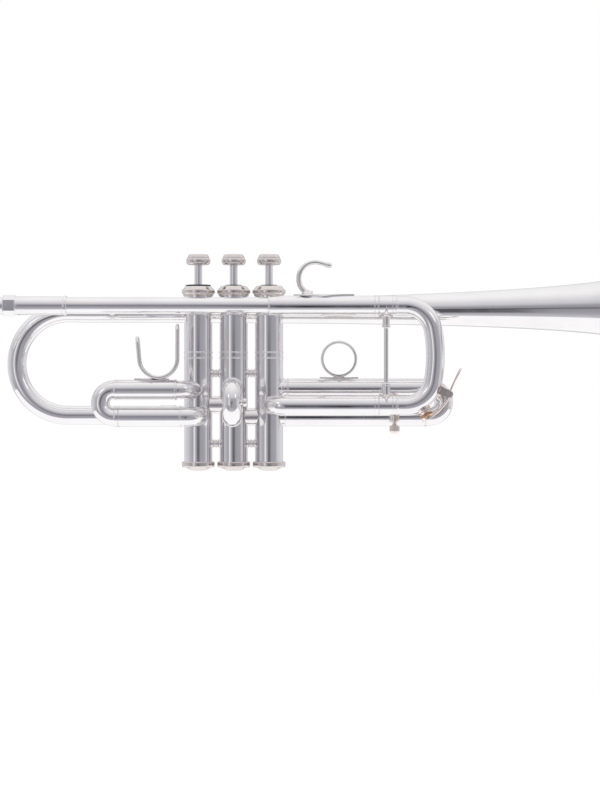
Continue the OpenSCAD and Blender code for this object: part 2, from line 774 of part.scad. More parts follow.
module first_fixed_tubes() {
    turn_r = 8;
    leg_start_x = -73;
    sleeve_start_x = first_crook_x + 3;
    low_turn_x = -valve_pitch - turn_r;
    stub_l = (lead_y - first_turn_r * (1 - cos(first_turn_a))) / sin(first_turn_a);
    solder_gap = 0.05;
    ring_w = 2;
    color(silver) {
        difference() {
            union() {
                translate([0, lead_plane, first_hi_z])
                    tube_x(leg_start_x, first_turn_x - solder_gap, leg_od, bore_d);
                translate([-valve_pitch, 0, first_hi_z]) rotate([0, 0, first_turn_a]) {
                    tube_x(-stub_l, -4, leg_od, bore_d);
                    translate([-stub_l, first_turn_r, 0]) mirror([1, 0, 0])
                        bend_xy(first_turn_r, -90, first_turn_a - 90, leg_od, bore_d);
                }
            }
            casing_envelope(1);
        }
        difference() {
            union() {
                translate([0, lead_plane, first_lo_z]) {
                    tube_x(sleeve_start_x, low_turn_x, sleeve_od, sleeve_id);
                    tube_x(-37.3, -37.3 + ring_w, sleeve_od + 2 * bead_h, sleeve_id);
                    tube_x(sleeve_start_x, sleeve_start_x + 0.8, sleeve_od + 2 * bead_h, sleeve_id);
                }
                translate([low_turn_x, lead_plane + turn_r, first_lo_z])
                    bend_xy(turn_r, -90, 0, sleeve_od, sleeve_id);
                translate([-valve_pitch, 0, first_lo_z])
                    tube_y(lead_plane + turn_r, -4, sleeve_od, sleeve_id);
            }
            casing_envelope(1);
        }
    }
}

module first_moving_tubes() {
    leg_end_x = -44;
    ring_w = 2;
    sleeve_end_x = first_turn_x - 0.2;
    start_x = first_crook_x + 2.7;
    color(silver) {
        translate([0, lead_plane, first_hi_z]) {
            tube_x(start_x, sleeve_end_x, sleeve_od, sleeve_id);
            tube_x(sleeve_end_x - ring_w, sleeve_end_x, sleeve_od + 2 * bead_h, sleeve_id);
        }
        translate([0, lead_plane, first_lo_z]) tube_x(start_x, leg_end_x, leg_od, bore_d);
    }
}

module first_crook() {
    crook_r = (first_hi_z - first_lo_z) / 2;
    color(silver) translate([first_crook_x, lead_plane, 0]) {
        translate([0, 0, first_lo_z + crook_r]) bend_xz(crook_r, 90, 270, bow_od, bow_id);
        for (z = [first_hi_z, first_lo_z]) translate([0, 0, z]) {
            tube_x(0, 2.7, sleeve_od, bow_id);
            tube_x(0.9, 1.6, sleeve_od + bead_h, bow_id);
        }
    }
}

module thumb_saddle() {
    strip_t = 2.4;
    strip_w = 10;
    left_t = 2.2;
    left_w = 9.7;
    bend_r = 13.2;
    bend_z = 13;
    lean = 5;
    left_l = 11.5;
    right_l = 19;
    plate_shift = -4.6;
    color(silver) translate([saddle_x, lead_plane, 0]) {
        translate([0, 0, bend_z]) {
            rotate([90, 0, 0]) rotate([0, 0, 180]) rotate_extrude(angle = 180)
                translate([bend_r - strip_t / 2, -strip_w / 2]) square([strip_t, strip_w]);
            translate([bend_r - strip_t / 2, -strip_w / 2, 0]) cube([strip_t, strip_w, right_l]);
            translate([bend_r - strip_t / 2, 0, right_l]) rotate([0, 90, 0]) cylinder(h = strip_t, d = strip_w);
            rotate([0, -lean, 0]) {
                translate([-bend_r - left_t / 2, -left_w / 2, -1.2]) cube([left_t, left_w, left_l + 1.2]);
                translate([-bend_r - left_t / 2, 0, left_l]) rotate([0, 90, 0])
                    cylinder(h = left_t, d = left_w);
            }
        }
        translate([plate_shift, 0, first_hi_z]) diamond_plate(sleeve_od, 22, 5, 1);
    }
}

// ---- second slide ----

second_sleeve_y = -31;

module second_sleeves() {
    color(silver) difference() {
        for (z = [hi_z, lo_z]) translate([0, 0, z]) {
            tube_y(second_sleeve_y, -4, sleeve_od, sleeve_id);
            tube_y(second_sleeve_y, second_sleeve_y + 1, sleeve_od + 2 * bead_h, sleeve_id);
        }
        casing_envelope(2);
    }
}

module second_legs() {
    color(silver) for (z = [hi_z, lo_z]) translate([0, 0, z])
        tube_y(second_sleeve_y - 3, -13, leg_od, bore_d);
}

module second_crook() {
    crook_r = (hi_z - lo_z) / 2;
    color(silver) {
        translate([0, second_crook_y, lo_z + crook_r]) bend_yz(crook_r, -90, 90, bow_od, bow_id);
        for (z = [hi_z, lo_z]) translate([0, 0, z]) {
            tube_y(second_crook_y, second_sleeve_y - 3.2, bow_od, bow_id);
            tube_y(second_crook_y + 0.6, second_sleeve_y - joint_gap, sleeve_od, bow_od);
        }
    }
}

module second_knob() {
    knob_d = 6;
    knob_out = 10.6;
    crook_r = (hi_z - lo_z) / 2;
    color(warm_silver) difference() {
        translate([0, second_crook_y - crook_r, (hi_z + lo_z) / 2]) {
            rod_x(4.5, 7.6, 3.4);
            rod_x(7.6, knob_out - 0.7, knob_d);
            rod_x(knob_out - 0.7, knob_out, knob_d - 1.4);
        }
        translate([0, second_crook_y, lo_z + crook_r]) rotate([0, 0, -90]) rotate([90, 0, 0])
            rotate([0, 0, -60]) rotate_extrude(angle = 120) translate([crook_r, 0]) circle(d = bow_od);
    }
}

// ---- third slide ----

third_sleeve_end_x = third_crook_x - 3;

module third_fixed_tubes() {
    collar_x = 34.4;
    collar_end_x = 36.6;
    color(silver) difference() {
        union() {
            translate([0, 0, hi_z]) {
                tube_x(28, 122, leg_od, bore_d);
                tube_x(collar_x - 6, collar_end_x, sleeve_od + 2 * bead_h, leg_od);
            }
            translate([0, 0, lo_z]) {
                tube_x(28, third_sleeve_end_x, sleeve_od, sleeve_id);
                tube_x(third_sleeve_end_x - 1, third_sleeve_end_x, sleeve_od + 2 * bead_h, sleeve_id);
                tube_x(collar_end_x - 1, collar_end_x, sleeve_od + 2 * bead_h, sleeve_id);
            }
        }
        casing_envelope(3);
    }
}

module third_moving_tubes() {
    sleeve_start_x = 37;
    leg_start_x = 62;
    start_x = third_sleeve_end_x + joint_gap;
    color(silver) {
        translate([0, 0, hi_z]) {
            tube_x(sleeve_start_x, start_x, sleeve_od, sleeve_id);
            tube_x(sleeve_start_x, sleeve_start_x + 1.6, sleeve_od + 2 * bead_h, sleeve_id);
        }
        translate([0, 0, lo_z]) tube_x(leg_start_x, start_x, leg_od, bore_d);
    }
}

module third_crook() {
    crook_r = (hi_z - lo_z) / 2;
    start_x = third_sleeve_end_x + joint_gap;
    color(silver) {
        translate([third_crook_x, 0, lo_z + crook_r]) bend_xz(crook_r, -90, 90, bow_od, bow_id);
        for (z = [hi_z, lo_z]) translate([0, 0, z]) {
            tube_x(start_x, third_crook_x, sleeve_od, bow_id);
            tube_x(start_x + 0.8, start_x + 1.5, sleeve_od + bead_h, bow_id);
        }
    }
}

module finger_ring() {
    band_t = 1.9;
    band_w = 6;
    ring_r = ring_od / 2;
    ring_z = hi_z + sleeve_od / 2 + ring_r + 0.9;
    color(silver) difference() {
        translate([ring_x, 0, 0]) union() {
            translate([0, 0, ring_z]) tube_y(-band_w / 2, band_w / 2, ring_od, ring_od - 2 * band_t);
            translate([-4.5, -band_w / 2, hi_z + sleeve_od / 2 - 0.5]) cube([9, band_w, 2.2]);
            translate([0, 0, hi_z]) diamond_plate(sleeve_od, 27, 5.3, 1);
        }
        translate([0, 0, hi_z]) rod_x(0, 130, sleeve_od);
    }
}

// ---- lyre holder ----

lyre_y = -9.5;
lyre_top_z = -25.2;
lyre_low_z = -30.7;

module lyre_holder() {
    boss_d = 6.8;
    color(warm_silver) difference() {
        translate([stop_x, lyre_y, lyre_low_z]) cylinder(h = lyre_top_z - lyre_low_z, d = boss_d);
        translate([0, 0, lo_z]) rod_x(stop_x - 10, stop_x + 10, sleeve_od);
        translate([0, lyre_y, (lyre_top_z + lyre_low_z) / 2 + 0.4]) rod_x(stop_x - 10, stop_x + 10, 2.6);
        translate([stop_x, lyre_y, lyre_low_z - 1]) cylinder(h = 3, d = 2.6);
    }
}

module lyre_screw() {
    color(warm_silver) translate([stop_x, lyre_y, 0]) {
        translate([0, 0, lyre_low_z - 2]) cylinder(h = 3, d = 2.5);
        translate([0, 0, -33.2]) cylinder(h = 2, d = 3.6);
        rotate_extrude() polygon([
            [0, -33.2], [2.6, -33.2], [3.6, -34], [3.6, -37.2], [3, -38.2], [1.6, -38.9], [0, -39]
        ]);
    }
}

mouthpiece();
receiver();
leadpipe();
main_sleeve_upper();
main_sleeve_lower();
main_legs();
main_bow();
main_ferrules();
main_brace();
water_key_seat();
water_key_screw();
water_key_spring();
water_key_lever();
water_key_cork();
pinky_hook();
bell();
bell_elbow();
bell_braces();
valve_casing(1);  // casing_1
valve_casing(2);  // casing_2
valve_casing(3);  // casing_3
valve_braces();
valve_knuckles();
top_cap(1);  // top_cap_1
top_cap(2);  // top_cap_2
top_cap(3);  // top_cap_3
bottom_cap(1);  // bottom_cap_1
bottom_cap(2);  // bottom_cap_2
bottom_cap(3);  // bottom_cap_3
cap_felts();
valve_guides();
piston(1);  // piston_1
piston(2);  // piston_2
piston(3);  // piston_3
valve_spring(1);  // spring_1
valve_spring(2);  // spring_2
valve_spring(3);  // spring_3
valve_stem(1);  // stem_1
valve_stem(2);  // stem_2
valve_stem(3);  // stem_3
button(1);  // button_1
button(2);  // button_2
button(3);  // button_3
pearl(1);  // pearl_1
pearl(2);  // pearl_2
pearl(3);  // pearl_3
first_fixed_tubes();
first_moving_tubes();
first_crook();
thumb_saddle();
second_sleeves();
second_legs();
second_crook();
second_knob();
third_fixed_tubes();
third_moving_tubes();
third_crook();
finger_ring();
lyre_holder();
lyre_screw();
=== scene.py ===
import math

import bpy
from mathutils import Matrix, Vector


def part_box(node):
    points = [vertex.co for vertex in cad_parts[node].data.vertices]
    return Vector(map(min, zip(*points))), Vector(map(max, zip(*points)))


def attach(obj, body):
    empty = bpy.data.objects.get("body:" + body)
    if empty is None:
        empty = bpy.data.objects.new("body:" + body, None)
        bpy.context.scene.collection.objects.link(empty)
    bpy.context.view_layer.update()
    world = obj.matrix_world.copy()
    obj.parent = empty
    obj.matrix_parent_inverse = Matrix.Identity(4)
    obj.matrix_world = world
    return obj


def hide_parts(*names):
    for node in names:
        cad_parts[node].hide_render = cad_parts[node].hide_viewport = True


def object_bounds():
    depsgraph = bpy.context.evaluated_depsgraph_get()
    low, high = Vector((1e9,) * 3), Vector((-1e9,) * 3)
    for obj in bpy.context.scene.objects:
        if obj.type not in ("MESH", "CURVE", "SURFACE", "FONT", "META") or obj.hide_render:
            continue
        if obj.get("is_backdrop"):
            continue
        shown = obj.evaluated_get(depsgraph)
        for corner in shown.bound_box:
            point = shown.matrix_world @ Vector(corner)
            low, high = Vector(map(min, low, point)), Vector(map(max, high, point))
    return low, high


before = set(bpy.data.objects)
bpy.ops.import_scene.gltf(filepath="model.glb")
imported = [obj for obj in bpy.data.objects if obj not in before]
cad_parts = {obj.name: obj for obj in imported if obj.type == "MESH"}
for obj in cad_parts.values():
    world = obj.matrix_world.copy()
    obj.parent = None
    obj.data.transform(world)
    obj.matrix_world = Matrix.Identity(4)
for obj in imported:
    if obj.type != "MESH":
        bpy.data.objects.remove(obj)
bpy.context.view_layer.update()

# ---- Studio ----
# The trumpet hangs in a white tent over a pale board. The walls are dimmer in front and along the horizon,
# with dark slots before the camera and bright seams at the sides, which the polished tubes mirror as lines.

MM = 0.001
scene = bpy.context.scene
scene.view_settings.view_transform = "Standard"

camera_data = bpy.data.cameras.new("camera")
camera_data.lens = 102.9
camera_data.sensor_width = 36
camera = bpy.data.objects.new("camera", camera_data)
camera.location = (0.0464, -1.6, -0.01575)
camera.rotation_euler = (math.pi / 2, 0, 0)
scene.collection.objects.link(camera)
scene.camera = camera

tent = bpy.data.worlds.new("tent")
scene.world = tent
tent.use_nodes = True
tent_nodes, tent_links = tent.node_tree.nodes, tent.node_tree.links
tent_nodes.clear()


def tent_math(kind, first, second=0.0):
    node = tent_nodes.new("ShaderNodeMath")
    node.operation = kind
    for socket, value in zip(node.inputs, (first, second)):
        if isinstance(value, (int, float)):
            socket.default_value = value
        else:
            tent_links.new(value, socket)
    return node.outputs[0]


def set_sockets(node, **values):
    """Sets a node's own sockets. An underscore in a name stands for a space."""
    for name, value in values.items():
        node.inputs[name.replace("_", " ")].default_value = value
    return node


def colour_ramp(nodes, links, factor, stops):
    """Turns a factor from 0 to 1 into colours that run from stop to stop."""
    node = nodes.new("ShaderNodeValToRGB")
    elements = node.color_ramp.elements
    elements[0].position, elements[1].position = stops[0][0], stops[-1][0]
    for place, colour in stops[1:-1]:
        elements.new(place)
    for element, (place, colour) in zip(elements, stops):
        element.color = (*colour, 1)
    links.new(factor, node.inputs[0])
    return node.outputs[0]


def tent_ramp(factor, greys):
    """Greys that turn cooler as they darken."""
    stops = []
    for place, grey in greys:
        cool = 1 - grey
        stops.append((place, (grey * (1 - 0.05 * cool), grey * (1 - 0.06 * cool), grey * (1 + 0.09 * cool))))
    return colour_ramp(tent_nodes, tent_links, factor, stops)


def tent_mix(factor, first, second):
    node = tent_nodes.new("ShaderNodeMix")
    node.data_type = "RGBA"
    node.clamp_factor = True
    tent_links.new(factor, node.inputs["Factor"])
    for socket, value in ((node.inputs[6], first), (node.inputs[7], second)):
        if isinstance(value, tuple):
            socket.default_value = value
        else:
            tent_links.new(value, socket)
    return node.outputs[2]


def tent_step(value, low, high):
    node = set_sockets(tent_nodes.new("ShaderNodeMapRange"), From_Min=low, From_Max=high)
    node.interpolation_type = "SMOOTHSTEP"
    tent_links.new(value, node.inputs["Value"])
    return node.outputs["Result"]


direction = tent_nodes.new("ShaderNodeTexCoord").outputs["Generated"]
parts = tent_nodes.new("ShaderNodeSeparateXYZ")
tent_links.new(direction, parts.inputs[0])
east, north, up = parts.outputs
height = tent_math("MULTIPLY_ADD", up, 0.5)
height.node.inputs[2].default_value = 0.5
bearing = tent_math("ARCTAN2", east, tent_math("MULTIPLY", north, -1.0))
round_share = tent_math("MULTIPLY_ADD", bearing, 0.5 / math.pi)
round_share.node.inputs[2].default_value = 0.5
front_wall = tent_ramp(height, [
    (0.0, 0.97), (0.03, 1.0), (0.08, 0.84), (0.165, 0.57), (0.27, 0.41), (0.39, 0.36), (0.505, 0.41),
    (0.625, 0.54), (0.75, 0.69), (0.86, 0.79), (0.95, 0.93), (1.0, 1.0)])
back_wall = tent_ramp(height, [
    (0.0, 0.75), (0.07, 0.78), (0.25, 0.84), (0.38, 0.6), (0.5, 0.42), (0.62, 0.6), (0.75, 0.9), (1.0, 1.0)])
seams = tent_ramp(round_share, [
    (0.0, 0.42), (0.06, 0.5), (0.105, 0.85), (0.165, 0.74), (0.25, 0.68), (0.31, 0.55), (0.371, 0.44),
    (0.396, 0.5), (0.406, 1.0), (0.419, 1.0), (0.431, 0.62), (0.46, 0.42), (0.485, 0.35), (0.535, 0.36),
    (0.57, 0.4), (0.66, 0.44), (0.685, 0.62), (0.73, 0.7), (0.8, 0.76), (0.895, 0.85), (0.94, 0.5),
    (1.0, 0.42)])
walls = tent_mix(tent_step(north, -0.35, 0.35), front_wall, back_wall)
level = tent_step(tent_math("ABSOLUTE", up), 0.12, 0.4)
tent_colour = tent_mix(level, seams, walls)
edge_up = 0.02
for low_up, high_up, low_b, high_b, edge_b, grey in (
        (-0.1, 0.02, -0.13, 0.2, 0.05, 0.19), (-0.42, -0.03, -0.012, 0.036, 0.012, 0.03)):
    slot = tent_step(up, low_up - edge_up, low_up)
    for way, outside, inside in ((up, high_up + edge_up, high_up), (bearing, low_b - edge_b, low_b),
                                 (bearing, high_b + edge_b, high_b)):
        slot = tent_math("MULTIPLY", slot, tent_step(way, outside, inside))
    tent_colour = tent_mix(slot, tent_colour, (grey, grey, grey * 1.1, 1))
light_path = tent_nodes.new("ShaderNodeLightPath")
tent_colour = tent_mix(light_path.outputs["Is Camera Ray"], tent_colour, (1, 1, 1, 1))
background = tent_nodes.new("ShaderNodeBackground")
tent_links.new(tent_colour, background.inputs["Color"])
tent_output = tent_nodes.new("ShaderNodeOutputWorld")
tent_links.new(background.outputs[0], tent_output.inputs["Surface"])

bpy.ops.object.select_all(action="DESELECT")
bpy.ops.mesh.primitive_plane_add(size=1, location=(0.06, 0.1, -0.3))
floor = bpy.context.object
floor.name = floor.data.name = "pale_floor"
floor.scale = (1.8, 0.8, 1)
bpy.ops.object.transform_apply(location=True, rotation=True, scale=True)


def start_material(name):
    """A new material, with its nodes, its links and its shader."""
    material = bpy.data.materials.new(name)
    material.use_nodes = True
    nodes, links = material.node_tree.nodes, material.node_tree.links
    return material, nodes, links, nodes["Principled BSDF"]


pale_board, nodes, links, shader = start_material("pale_board")
set_sockets(shader, Base_Color=(0.3, 0.3, 0.3, 1), Roughness=0.9, Specular_IOR_Level=0,
            Emission_Color=(1, 1, 1, 1), Emission_Strength=0.82)
floor.data.materials.append(pale_board)
floor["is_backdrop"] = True

for name, place in (("left_box", (-1.1, -1.3, 0.9)), ("right_box", (1.3, -1.0, 0.8))):
    lamp_data = bpy.data.lights.new(name, "AREA")
    lamp_data.size = 0.5
    lamp_data.energy = 0.4
    lamp = bpy.data.objects.new(name, lamp_data)
    lamp.location = place
    lamp.rotation_euler = (Vector((0, 0, 0)) - Vector(place)).to_track_quat("-Z", "Y").to_euler()
    scene.collection.objects.link(lamp)

# ---- Leadpipe ----
# The pipe that the mouthpiece blows into: drawn brass tube, silver plated, soldered into the receiver at
# one end and into the main slide's upper sleeve at the other.


def raise_surface(nodes, links, shader, height, strength, depth):
    """Lets a pattern raise the surface, by at most depth in metres."""
    bump = set_sockets(nodes.new("ShaderNodeBump"), Strength=strength, Distance=depth)
    links.new(height, bump.inputs["Height"])
    links.new(bump.outputs["Normal"], shader.inputs["Normal"])


def silver_plate(name, colour=(0.9, 0.885, 0.885), roughness=0.07, grain=(1, 1, 1)):
    """Polished silver plate: faint cloudy handling marks, and fine polishing lines."""
    metal, nodes, links, shader = start_material(name)
    shader.inputs["Metallic"].default_value = 1
    place = nodes.new("ShaderNodeTexCoord")
    clouds = set_sockets(nodes.new("ShaderNodeTexNoise"), Scale=45, Detail=5)
    links.new(place.outputs["Object"], clouds.inputs["Vector"])
    tint = colour_ramp(nodes, links, clouds.outputs["Fac"], [
        (0.3, [share * 0.955 for share in colour]), (0.6, colour)])
    links.new(tint, shader.inputs["Base Color"])
    smudge = set_sockets(nodes.new("ShaderNodeMapRange"), From_Min=0.35, From_Max=0.75, To_Min=roughness,
                         To_Max=roughness * 2)
    links.new(clouds.outputs["Fac"], smudge.inputs["Value"])
    links.new(smudge.outputs["Result"], shader.inputs["Roughness"])
    stretch = set_sockets(nodes.new("ShaderNodeMapping"), Scale=grain)
    links.new(place.outputs["Object"], stretch.inputs["Vector"])
    lines = set_sockets(nodes.new("ShaderNodeTexNoise"), Scale=900, Detail=3)
    links.new(stretch.outputs["Vector"], lines.inputs["Vector"])
    raise_surface(nodes, links, shader, lines.outputs["Fac"], 0.04, 0.00004)
    return metal


silver_along_x = silver_plate("silver_along_x", grain=(0.05, 1, 1))


def draw_tube(name, start, heading, radius, moves, sides=64, bore=None):
    """Draws a ring of metal along: (forward, new radius) goes straight on, and
    ("bend", pivot, axis, degrees, steps) goes round. With a bore it comes back inside as a real wall."""
    point_r = 0.001
    centre, heading = Vector(start), Vector(heading).normalized()
    radius = max(radius, point_r)
    bpy.ops.object.select_all(action="DESELECT")
    bpy.ops.mesh.primitive_circle_add(
        vertices=sides, radius=radius * MM, fill_type="NOTHING", location=centre * MM,
        rotation=heading.to_track_quat("Z", "Y").to_euler())
    tube = bpy.context.object
    tube.name = tube.data.name = name
    bpy.ops.object.transform_apply(location=True, rotation=True, scale=True)
    bpy.ops.object.mode_set(mode="EDIT")
    bpy.ops.mesh.select_all(action="SELECT")
    now = radius
    path = list(moves)
    if bore:
        path.append((0, bore))
        length = 0
        for move in reversed(moves):
            if move[0] == "bend":
                path += [(-length, bore), ("bend", move[1], move[2], -move[3], move[4])]
                length = 0
            else:
                length += move[0]
        path += [(-length, bore), (0, radius)]
    for move in path:
        if move[0] == "bend":
            pivot, axis, degrees, steps = Vector(move[1]), Vector(move[2]), move[3], move[4]
            turns = steps if len(move) > 5 else 1
            turn = Matrix.Rotation(math.radians(degrees / turns), 3, axis)
            first = now
            for k in range(turns):
                bpy.ops.mesh.spin(
                    steps=steps // turns, angle=-math.radians(degrees / turns), center=pivot * MM, axis=axis)
                centre, heading = pivot + turn @ (centre - pivot), turn @ heading
                if turns > 1:
                    wanted = first + (move[5] - first) * (k + 1) / turns
                    bpy.ops.transform.resize(value=(wanted / now,) * 3, center_override=centre * MM)
                    now = wanted
            continue
        forward, wanted = move
        if forward == 0 and wanted == now:
            continue
        bpy.ops.mesh.extrude_region_move(TRANSFORM_OT_translate={"value": heading * forward * MM})
        centre = centre + heading * forward
        if wanted != now:
            share = max(wanted, point_r) / now
            bpy.ops.transform.resize(value=(share,) * 3, center_override=centre * MM)
            now = max(wanted, point_r)
    bpy.ops.mesh.select_all(action="SELECT")
    bpy.ops.mesh.remove_doubles(threshold=0.004 * MM)
    bpy.ops.mesh.select_all(action="SELECT")
    bpy.ops.mesh.fill_holes(sides=0)
    bpy.ops.mesh.select_all(action="SELECT")
    bpy.ops.mesh.normals_make_consistent(inside=False)
    bpy.ops.object.mode_set(mode="OBJECT")
    return tube


def turn_piece(name, base, heading, outline, sides=64):
    """Turns a piece on a lathe from an outline of (along, radius) points."""
    steps = [(b[0] - a[0], b[1]) for a, b in zip(outline, outline[1:])]
    start = Vector(base) + Vector(heading).normalized() * outline[0][0]
    return draw_tube(name, start, heading, outline[0][1], steps, sides)


def use_alone(piece):
    bpy.ops.object.select_all(action="DESELECT")
    piece.select_set(True)
    bpy.context.view_layer.objects.active = piece


def corners(node):
    """The lowest and highest corners of a CAD node, in millimetres."""
    return [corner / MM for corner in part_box(node)]


def another(piece, name, shift):
    """Copies a piece, with a mesh of its own, and sets the copy down at shift millimetres from it."""
    twin = piece.copy()
    twin.data = piece.data.copy()
    twin.name = twin.data.name = name
    scene.collection.objects.link(twin)
    twin.data.transform(Matrix.Translation(Vector(shift) * MM))
    return twin


def join_pieces(pieces, name):
    """Solders pieces into one."""
    use_alone(pieces[0])
    for piece in pieces[1:]:
        piece.select_set(True)
    bpy.ops.object.join()
    pieces[0].name = pieces[0].data.name = name
    return pieces[0]


def finish_piece(piece, metal, body, nodes, edge=0.12, smooth=38):
    """Breaks the sharp edges, plates the piece and puts it on the trumpet in place of its CAD nodes."""
    use_alone(piece)
    if edge:
        bevel = piece.modifiers.new("broken_edges", "BEVEL")
        bevel.width = edge * MM
        bevel.segments = 2
        bevel.limit_method = "ANGLE"
        bevel.angle_limit = math.radians(smooth)
        bpy.ops.object.modifier_apply(modifier=bevel.name)
    bpy.ops.object.shade_smooth_by_angle(angle=math.radians(smooth))
    even = piece.modifiers.new("even_shading", "WEIGHTED_NORMAL")
    even.keep_sharp = True
    bpy.ops.object.modifier_apply(modifier=even.name)
    piece.data.materials.clear()
    piece.data.materials.append(metal)
    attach(piece, body)
    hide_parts(*nodes)
    return piece


def cad_finish(node, metal):
    """Gives a CAD node that stays in sight its own finish."""
    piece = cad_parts[node]
    piece.data.materials.clear()
    piece.data.materials.append(metal)


along_x, along_y, along_z = Vector((1, 0, 0)), Vector((0, 1, 0)), Vector((0, 0, 1))
low, high = corners("leadpipe")
pipe_y, pipe_z = (low.y + high.y) / 2, (low.z + high.z) / 2
pipe_r = (high.z - low.z) / 2
leadpipe = draw_tube(
    "leadpipe_tube", (low.x, pipe_y, pipe_z), along_x, pipe_r, [(high.x - low.x, pipe_r)], bore=5.2)
finish_piece(leadpipe, silver_along_x, "body", ["leadpipe"])

# ---- Receiver ----
# The socket for the mouthpiece: turned brass with a hexagonal collar, a ring at its end, and silver plate.

low, high = corners("receiver")
collar_l, collar_r, socket_r = 9, 7.55, 6.5
collar = turn_piece("collar", (low.x, pipe_y, pipe_z), along_x, [
    (0, 5.72), (0, 6.7), (0.7, collar_r), (collar_l - 0.7, collar_r), (collar_l, 6.8), (collar_l, 5.72),
    (0, 5.72)], 6)
collar_bore = turn_piece("collar_lip", (low.x, pipe_y, pipe_z), along_x, [
    (-0.02, 5.7), (-0.02, 6.3), (0.5, 6.3), (0.5, 5.7), (-0.02, 5.7)])
end = high.x - low.x
socket = turn_piece("socket", (low.x, pipe_y, pipe_z), along_x, [
    (collar_l - 1, 5.95), (collar_l - 1, 6.2), (collar_l + 0.6, 6.2), (collar_l + 0.6, 6.55),
    (collar_l + 1.6, 6.65), (collar_l + 2.2, socket_r), (end - 3.4, socket_r), (end - 3.2, 6.3),
    (end - 2.6, 6.3), (end - 2.4, 6.75), (end - 1.4, 6.9), (end - 0.6, 6.9), (end, 6.5), (end, 5.95),
    (collar_l - 1, 5.95)])
finish_piece(join_pieces([socket, collar, collar_bore], "receiver_socket"), silver_along_x, "body",
             ["receiver"], edge=0.15, smooth=28)

# ---- Mouthpiece ----
# Turned from one brass bar: a rounded rim, a cup, a throat and a tapered shank, all silver plated. It is
# pushed into the receiver by hand.


def smooth_run(points, steps=6):
    """More points on a smooth curve through the given ones."""
    run = []
    ends = [points[0], *points, points[-1]]
    for i in range(len(points) - 1):
        before, first, second, after = (Vector(p) for p in ends[i:i + 4])
        for k in range(steps):
            t = k / steps
            run.append(tuple(0.5 * (2 * first + (second - before) * t
                                    + (2 * before - 5 * first + 4 * second - after) * t * t
                                    + (3 * first - before - 3 * second + after) * t ** 3)))
    return run + [tuple(points[-1])]


low, high = corners("mouthpiece")
cup = smooth_run([(1.4, 8.35), (3.6, 8.0), (7.4, 7.2), (10.6, 5.4), (12.6, 2.6), (14.5, 1.83), (22, 1.83),
                  (35, 2.3), (60, 3.1), (88, 4.3)], 5)
blank = smooth_run([
    (88, 4.95), (64, 5.6), (62, 5.8), (50, 5.8), (42, 5.4), (36, 5.2), (31, 5.6), (27, 6.9), (23, 9.4),
    (18, 11.8), (13, 13.0), (8, 13.5), (3.2, 13.7), (1.6, 13.4), (0.4, 12.2), (0, 10.6), (0.35, 9.2),
    (1.4, 8.35)], 5)
mouthpiece = turn_piece("mouthpiece_turned", (low.x, pipe_y, pipe_z), along_x, cup + blank, 72)
silver_round_x = silver_plate("silver_round_x", grain=(1, 0.06, 0.06))
finish_piece(mouthpiece, silver_round_x, "mouthpiece", ["mouthpiece"], edge=0)

# ---- Main slide: sleeves and legs ----
# The two outer sleeves are drawn tube with turned rings at their ends; the lower one bends into the third
# valve. The nickel-silver legs that run inside them show only when the slide is pulled.


def cut_piece(piece, cutter, kind):
    """Cuts a piece with another, which is used up."""
    use_alone(piece)
    cut = piece.modifiers.new("cut", "BOOLEAN")
    cut.operation = kind
    cut.solver = "EXACT"
    cut.object = cutter
    bpy.ops.object.modifier_apply(modifier=cut.name)
    bpy.data.objects.remove(cutter)


def casing_trim(piece, valve):
    """Files a tube's end to lie round a valve casing."""
    low, high = corners(f"casing_{valve}")
    bpy.ops.object.select_all(action="DESELECT")
    bpy.ops.mesh.primitive_cylinder_add(
        vertices=96, radius=9.7 * MM, depth=(high.z - low.z) * MM,
        location=((low.x + high.x) / 2 * MM, 0, (low.z + high.z) / 2 * MM))
    cut_piece(piece, bpy.context.object, "DIFFERENCE")
    return piece


sleeve_r, sleeve_bore, bead_r = 6.9, 6.4, 7.3


def bead(width, r=sleeve_r, proud=bead_r - sleeve_r):
    """A half-round ring between two fine grooves, as moves for draw_tube."""
    groove_r, shoulder_r, top_r = r - 0.25, r + proud * 0.5, r + proud
    return [(0, groove_r), (width * 0.2, groove_r), (0, shoulder_r), (width * 0.15, top_r),
            (width * 0.3, top_r), (width * 0.15, shoulder_r), (0, groove_r), (width * 0.2, groove_r), (0, r)]


low, high = corners("main_sleeve_upper")
upper = draw_tube("upper_sleeve", (low.x, pipe_y, pipe_z), along_x, sleeve_r, [
    *bead(1.4), (high.x - low.x - 1.4 - 3.5, sleeve_r), *bead(0.9), (1.6, sleeve_r), *bead(1.0)],
    bore=sleeve_bore)
finish_piece(upper, silver_along_x, "body", ["main_sleeve_upper"], edge=0.08)

low, high = corners("main_sleeve_lower")
low_leg_z = (low.z + high.z) / 2
port_x, turn_r = 27.5, 8.5
lower = draw_tube("lower_sleeve", (port_x, -2, low_leg_z), -along_y, sleeve_r, [
    (pipe_y * -1 - turn_r - 2, sleeve_r),
    ("bend", (port_x + turn_r, pipe_y + turn_r, low_leg_z), (0, 0, 1), 90, 20),
    (high.x - port_x - turn_r - 3.5, sleeve_r), *bead(0.9), (1.6, sleeve_r), *bead(1.0)], bore=sleeve_bore)
finish_piece(casing_trim(lower, 3), silver_along_x, "body", ["main_sleeve_lower"], edge=0.08)

slide_nickel = silver_plate("slide_nickel", colour=(0.8, 0.77, 0.74), roughness=0.14, grain=(0.05, 1, 1))
cad_finish("main_legs", slide_nickel)

# ---- Main slide: bow, ferrules and brace ----
# The bow is one bent tube, tight at the corners and nearly straight between them. Ferrules with two cut
# lines join it to the legs, and a turned brace on diamond feet keeps the legs apart.

